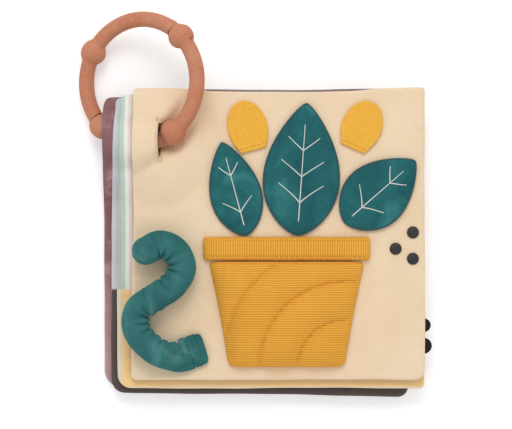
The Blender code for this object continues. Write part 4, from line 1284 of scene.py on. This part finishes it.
# the berries: padded satin-stitch dots

berries = {
    "radius": 0.0033, "rise": 0.0011, "ridge": 0.035, "ridges": 26, "edgeRidge": 0.015,
    "places": ((0.0640, -0.0080), (0.0735, 0.0010), (0.0735, -0.0135)),
}
for number, (x, y) in enumerate(berries["places"], 1):
    bm = bmesh.new()
    bmesh.ops.create_uvsphere(bm, u_segments=48, v_segments=24, radius=1.0)
    bmesh.ops.bisect_plane(bm, geom=wholeOf(bm), plane_co=(0, 0, 0), plane_no=(0, 0, 1), clear_inner=True)
    bmesh.ops.holes_fill(bm, edges=[edge for edge in bm.edges if edge.is_boundary])
    for vert in bm.verts:  # threads lie side by side across the dot
        ridge = 1 + berries["ridge"] * math.cos(vert.co.x * berries["ridges"] + 0.4 * number) * vert.co.z
        edgeShare = 1 - berries["edgeRidge"] + berries["edgeRidge"] * ridge
        vert.co = (vert.co.x * berries["radius"] * edgeShare, vert.co.y * berries["radius"],
                   vert.co.z * berries["rise"] * ridge)
    bmesh.ops.translate(bm, vec=(x + coverX, y + coverY, coverLevel), verts=bm.verts)
    bmesh.ops.recalc_face_normals(bm, faces=bm.faces)
    berry = toObject(bm, f"berryDot{number}", [darkThread])
    rideCover(berry, f"berry_dot_{number}")
print("cover ready")


# the stuffed tendril

tendril = {
    "radius": 0.0077, "steps": 22, "sides": 56, "fold": 0.0058, "foldDepth": 0.0012, "crest": 0.0004,
    "cuff": 0.0100, "cuffRamp": 0.0130, "cuffShare": 0.20, "cuffSpread": 0.17, "cuffSeams": (0.0030, 0.0088),
    "noseShares": (0.9995, 0.99, 0.965, 0.92, 0.85, 0.76, 0.65, 0.52, 0.38, 0.22),
    "hemShares": (0.999999, 0.99999, 0.9998, 0.996, 0.985, 0.96, 0.92, 0.86, 0.78, 0.68, 0.56, 0.42, 0.26),
    "route": ((-0.0480, -0.0645), (-0.0560, -0.0668), (-0.0680, -0.0635), (-0.0775, -0.0535),
              (-0.0775, -0.0420), (-0.0690, -0.0350), (-0.0595, -0.0290), (-0.0535, -0.0195),
              (-0.0560, -0.0100), (-0.0645, -0.0055), (-0.0730, -0.0090)),
}
tendrilFolds = {
    "sharpestBend": 75.0, "innerFrom": 0.45, "innerRamp": 1.2,
    "wobble": 0.9, "wobbleWaves": 95, "slant": 0.35,
    "swell": 0.0005, "rumple": 0.00028, "rumpleScale": 190, "endCalm": 0.006, "endRamp": 0.012,
    "pleat": 0.00042, "pleats": 15, "pleatReach": 0.0050, "pleatRamp": 0.0012, "seam": 0.0005,
    "seamWidth": 0.0006, "clearance": 0.00005,
}


def throughPoints(points, steps):  # a smooth curve through the route, with even steps between each two places
    ends = [points[0] * 2 - points[1]] + points + [points[-1] * 2 - points[-2]]
    smooth = []
    for a, b, c, d in zip(ends, ends[1:], ends[2:], ends[3:]):
        for step in range(steps):
            t = step / steps
            smooth.append((2 * b + (c - a) * t + (2 * a - 5 * b + 4 * c - d) * t * t
                           + (3 * b - a - 3 * c + d) * t ** 3) / 2)
    return smooth + [points[-1]]


places = [Vector((x + coverX, y + coverY, coverLevel + tendril["radius"])) for x, y in tendril["route"]]
middle = throughPoints(places, tendril["steps"])
noseShares, hemShares = tendril["noseShares"], tendril["hemShares"]
first, last = (middle[0] - middle[1]).normalized(), (middle[-1] - middle[-2]).normalized()
route = [middle[0] + first * tendril["radius"] * s for s in hemShares] + middle
radii = [tendril["radius"] * (1 - s ** 6) ** 0.25 for s in hemShares] + [tendril["radius"]] * len(middle)
route += [middle[-1] + last * tendril["radius"] * s for s in reversed(noseShares)]
radii += [tendril["radius"] * math.sqrt(1 - s * s) for s in reversed(noseShares)]
sleeve = sweepTube("stuffedTendril", route, radii, tendrilVelour, tendril["sides"])


def creaseTendril(piece):
    # folds fan out from the inside of each bend, and the root is pressed into a flat cuff with pleats
    folds, mesh = tendrilFolds, piece.data
    line = np.array([p[:] for p in route])
    steps = np.linalg.norm(np.diff(line, axis=0), axis=1)
    along = np.concatenate([[0.0], np.cumsum(steps)])
    tangent = np.gradient(line, axis=0)
    tangent /= np.linalg.norm(tangent, axis=1, keepdims=True)
    bend = np.gradient(tangent, axis=0) / np.maximum(np.gradient(along), 1e-6)[:, None]
    for _ in range(12):
        bend[1:-1] = (bend[:-2] + bend[1:-1] * 2 + bend[2:]) / 4
    count = len(mesh.vertices)
    places = np.zeros(count * 3)
    mesh.vertices.foreach_get("co", places)
    places = places.reshape(-1, 3)
    ringIndex = np.minimum(np.arange(count) // tendril["sides"], len(line) - 1)
    outward = places - line[ringIndex]
    outward /= np.maximum(np.linalg.norm(outward, axis=1, keepdims=True), 1e-9)
    bendSize = np.linalg.norm(bend[ringIndex], axis=1)
    tightness = np.clip(bendSize / folds["sharpestBend"], 0, 1)
    inner = (outward * bend[ringIndex]).sum(1) / np.maximum(bendSize, 1e-6)
    reach = smoothStep((inner + folds["innerFrom"]) / folds["innerRamp"]) * tightness
    s = along[ringIndex]
    wave = s * 2 * math.pi / tendril["fold"] + folds["wobble"] * np.sin(s * folds["wobbleWaves"])
    wave = wave + folds["slant"] * (1 - inner)
    fold = np.maximum(np.cos(wave), 0.0) ** 2
    swell = 0.5 + 0.5 * np.cos(wave + math.pi)
    rumple = softNoise(s, inner * 0.012, folds["rumpleScale"], 4.4)
    ends = smoothStep((np.minimum(s, along[-1] - s) - folds["endCalm"]) / folds["endRamp"])
    depth = -reach * (tendril["foldDepth"] * fold - folds["swell"] * swell) + folds["rumple"] * rumple
    angle = np.arctan2(outward[:, 2], (outward * np.cross(tangent[ringIndex], [0, 0, 1])).sum(1))
    fromCuff = s - tendril["cuff"]
    pleats = np.exp(-np.maximum(fromCuff, 0) / folds["pleatReach"])
    pleats = pleats * smoothStep((fromCuff + folds["pleatRamp"]) / folds["pleatRamp"])
    pleats = pleats * np.sin(angle * folds["pleats"] + 1.2 * np.sin(angle * 4))
    seams = sum(np.exp(-((s - seam) / folds["seamWidth"]) ** 2) for seam in tendril["cuffSeams"])
    depth = depth * ends + folds["pleat"] * pleats - folds["seam"] * seams
    places += outward * depth[:, None]
    pressed = 1 - smoothStep(fromCuff / tendril["cuffRamp"])
    places[:, :2] += outward[:, :2] * (tendril["radius"] * tendril["cuffSpread"] * pressed)[:, None]
    low = coverLevel + folds["clearance"]
    places[:, 2] = low + (places[:, 2] - low) * (1 - (1 - tendril["cuffShare"]) * pressed)
    places[:, 2] = np.maximum(places[:, 2], low)
    mesh.vertices.foreach_set("co", places.ravel())
    mesh.update()


creaseTendril(sleeve)
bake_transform(sleeve)
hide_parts("tendril_sleeve", "tendril_filling")

lengths = routeLengths(route)
for number, distance in enumerate(tendril["cuffSeams"], 1):  # two rows of stitches hold the cuff on the card
    nearest = min(range(len(lengths)), key=lambda index: abs(lengths[index] - distance))
    start = nearest * tendril["sides"]
    around = [vert.co.copy() for vert in sleeve.data.vertices[start:start + tendril["sides"]]]
    middleZ = sum(place.z for place in around) / len(around)
    upper = [place for place in around if place.z > middleZ + tendril["crest"]]
    crest = sorted(upper, key=lambda place: place.y)
    seam = stitchRow(f"cuffStitches{number}", crest, tealThread, **stitches["cuff"])
    rideCover(seam)
print("tendril ready")


# the felt tabs at the second card's edge

secondCard = cardSizes["second"]
tabs = {
    "upperEdgeTab": {"node": "upper_edge_tab", "height": 0.0350, "radius": 0.0038},
    "lowerEdgeTab": {"node": "lower_edge_tab", "height": 0.0236, "radius": 0.0044},
}
tabForm = {"thickness": 0.0012, "gap": 0.0006, "round": 0.00035}
for name, form in tabs.items():
    bm = bmesh.new()
    bmesh.ops.create_circle(bm, cap_ends=True, segments=48, radius=form["radius"])
    bmesh.ops.bisect_plane(bm, geom=wholeOf(bm), plane_co=(0, 0, 0), plane_no=(1, 0, 0), clear_inner=True)
    made = bmesh.ops.extrude_face_region(bm, geom=list(bm.faces))
    bmesh.ops.translate(bm, vec=(0, 0, tabForm["thickness"]), verts=onlyVerts(made))
    corners = [edge for edge in bm.edges if len(edge.link_faces) == 2 and edge.calc_face_angle() > 1.0]
    bmesh.ops.bevel(bm, geom=corners, offset=tabForm["round"], affect="EDGES", segments=3, profile=0.5,
                    material=-1)
    place = (secondCard["right"] + tabForm["gap"], secondCard["bottom"] + form["height"],
             secondCard["mid"] - tabForm["thickness"] / 2)
    bmesh.ops.translate(bm, vec=place, verts=bm.verts)
    bmesh.ops.recalc_face_normals(bm, faces=bm.faces)
    tab = toObject(bm, name, [blackFelt])
    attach(tab, "second_card")
    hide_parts(form["node"])
print("tabs ready")
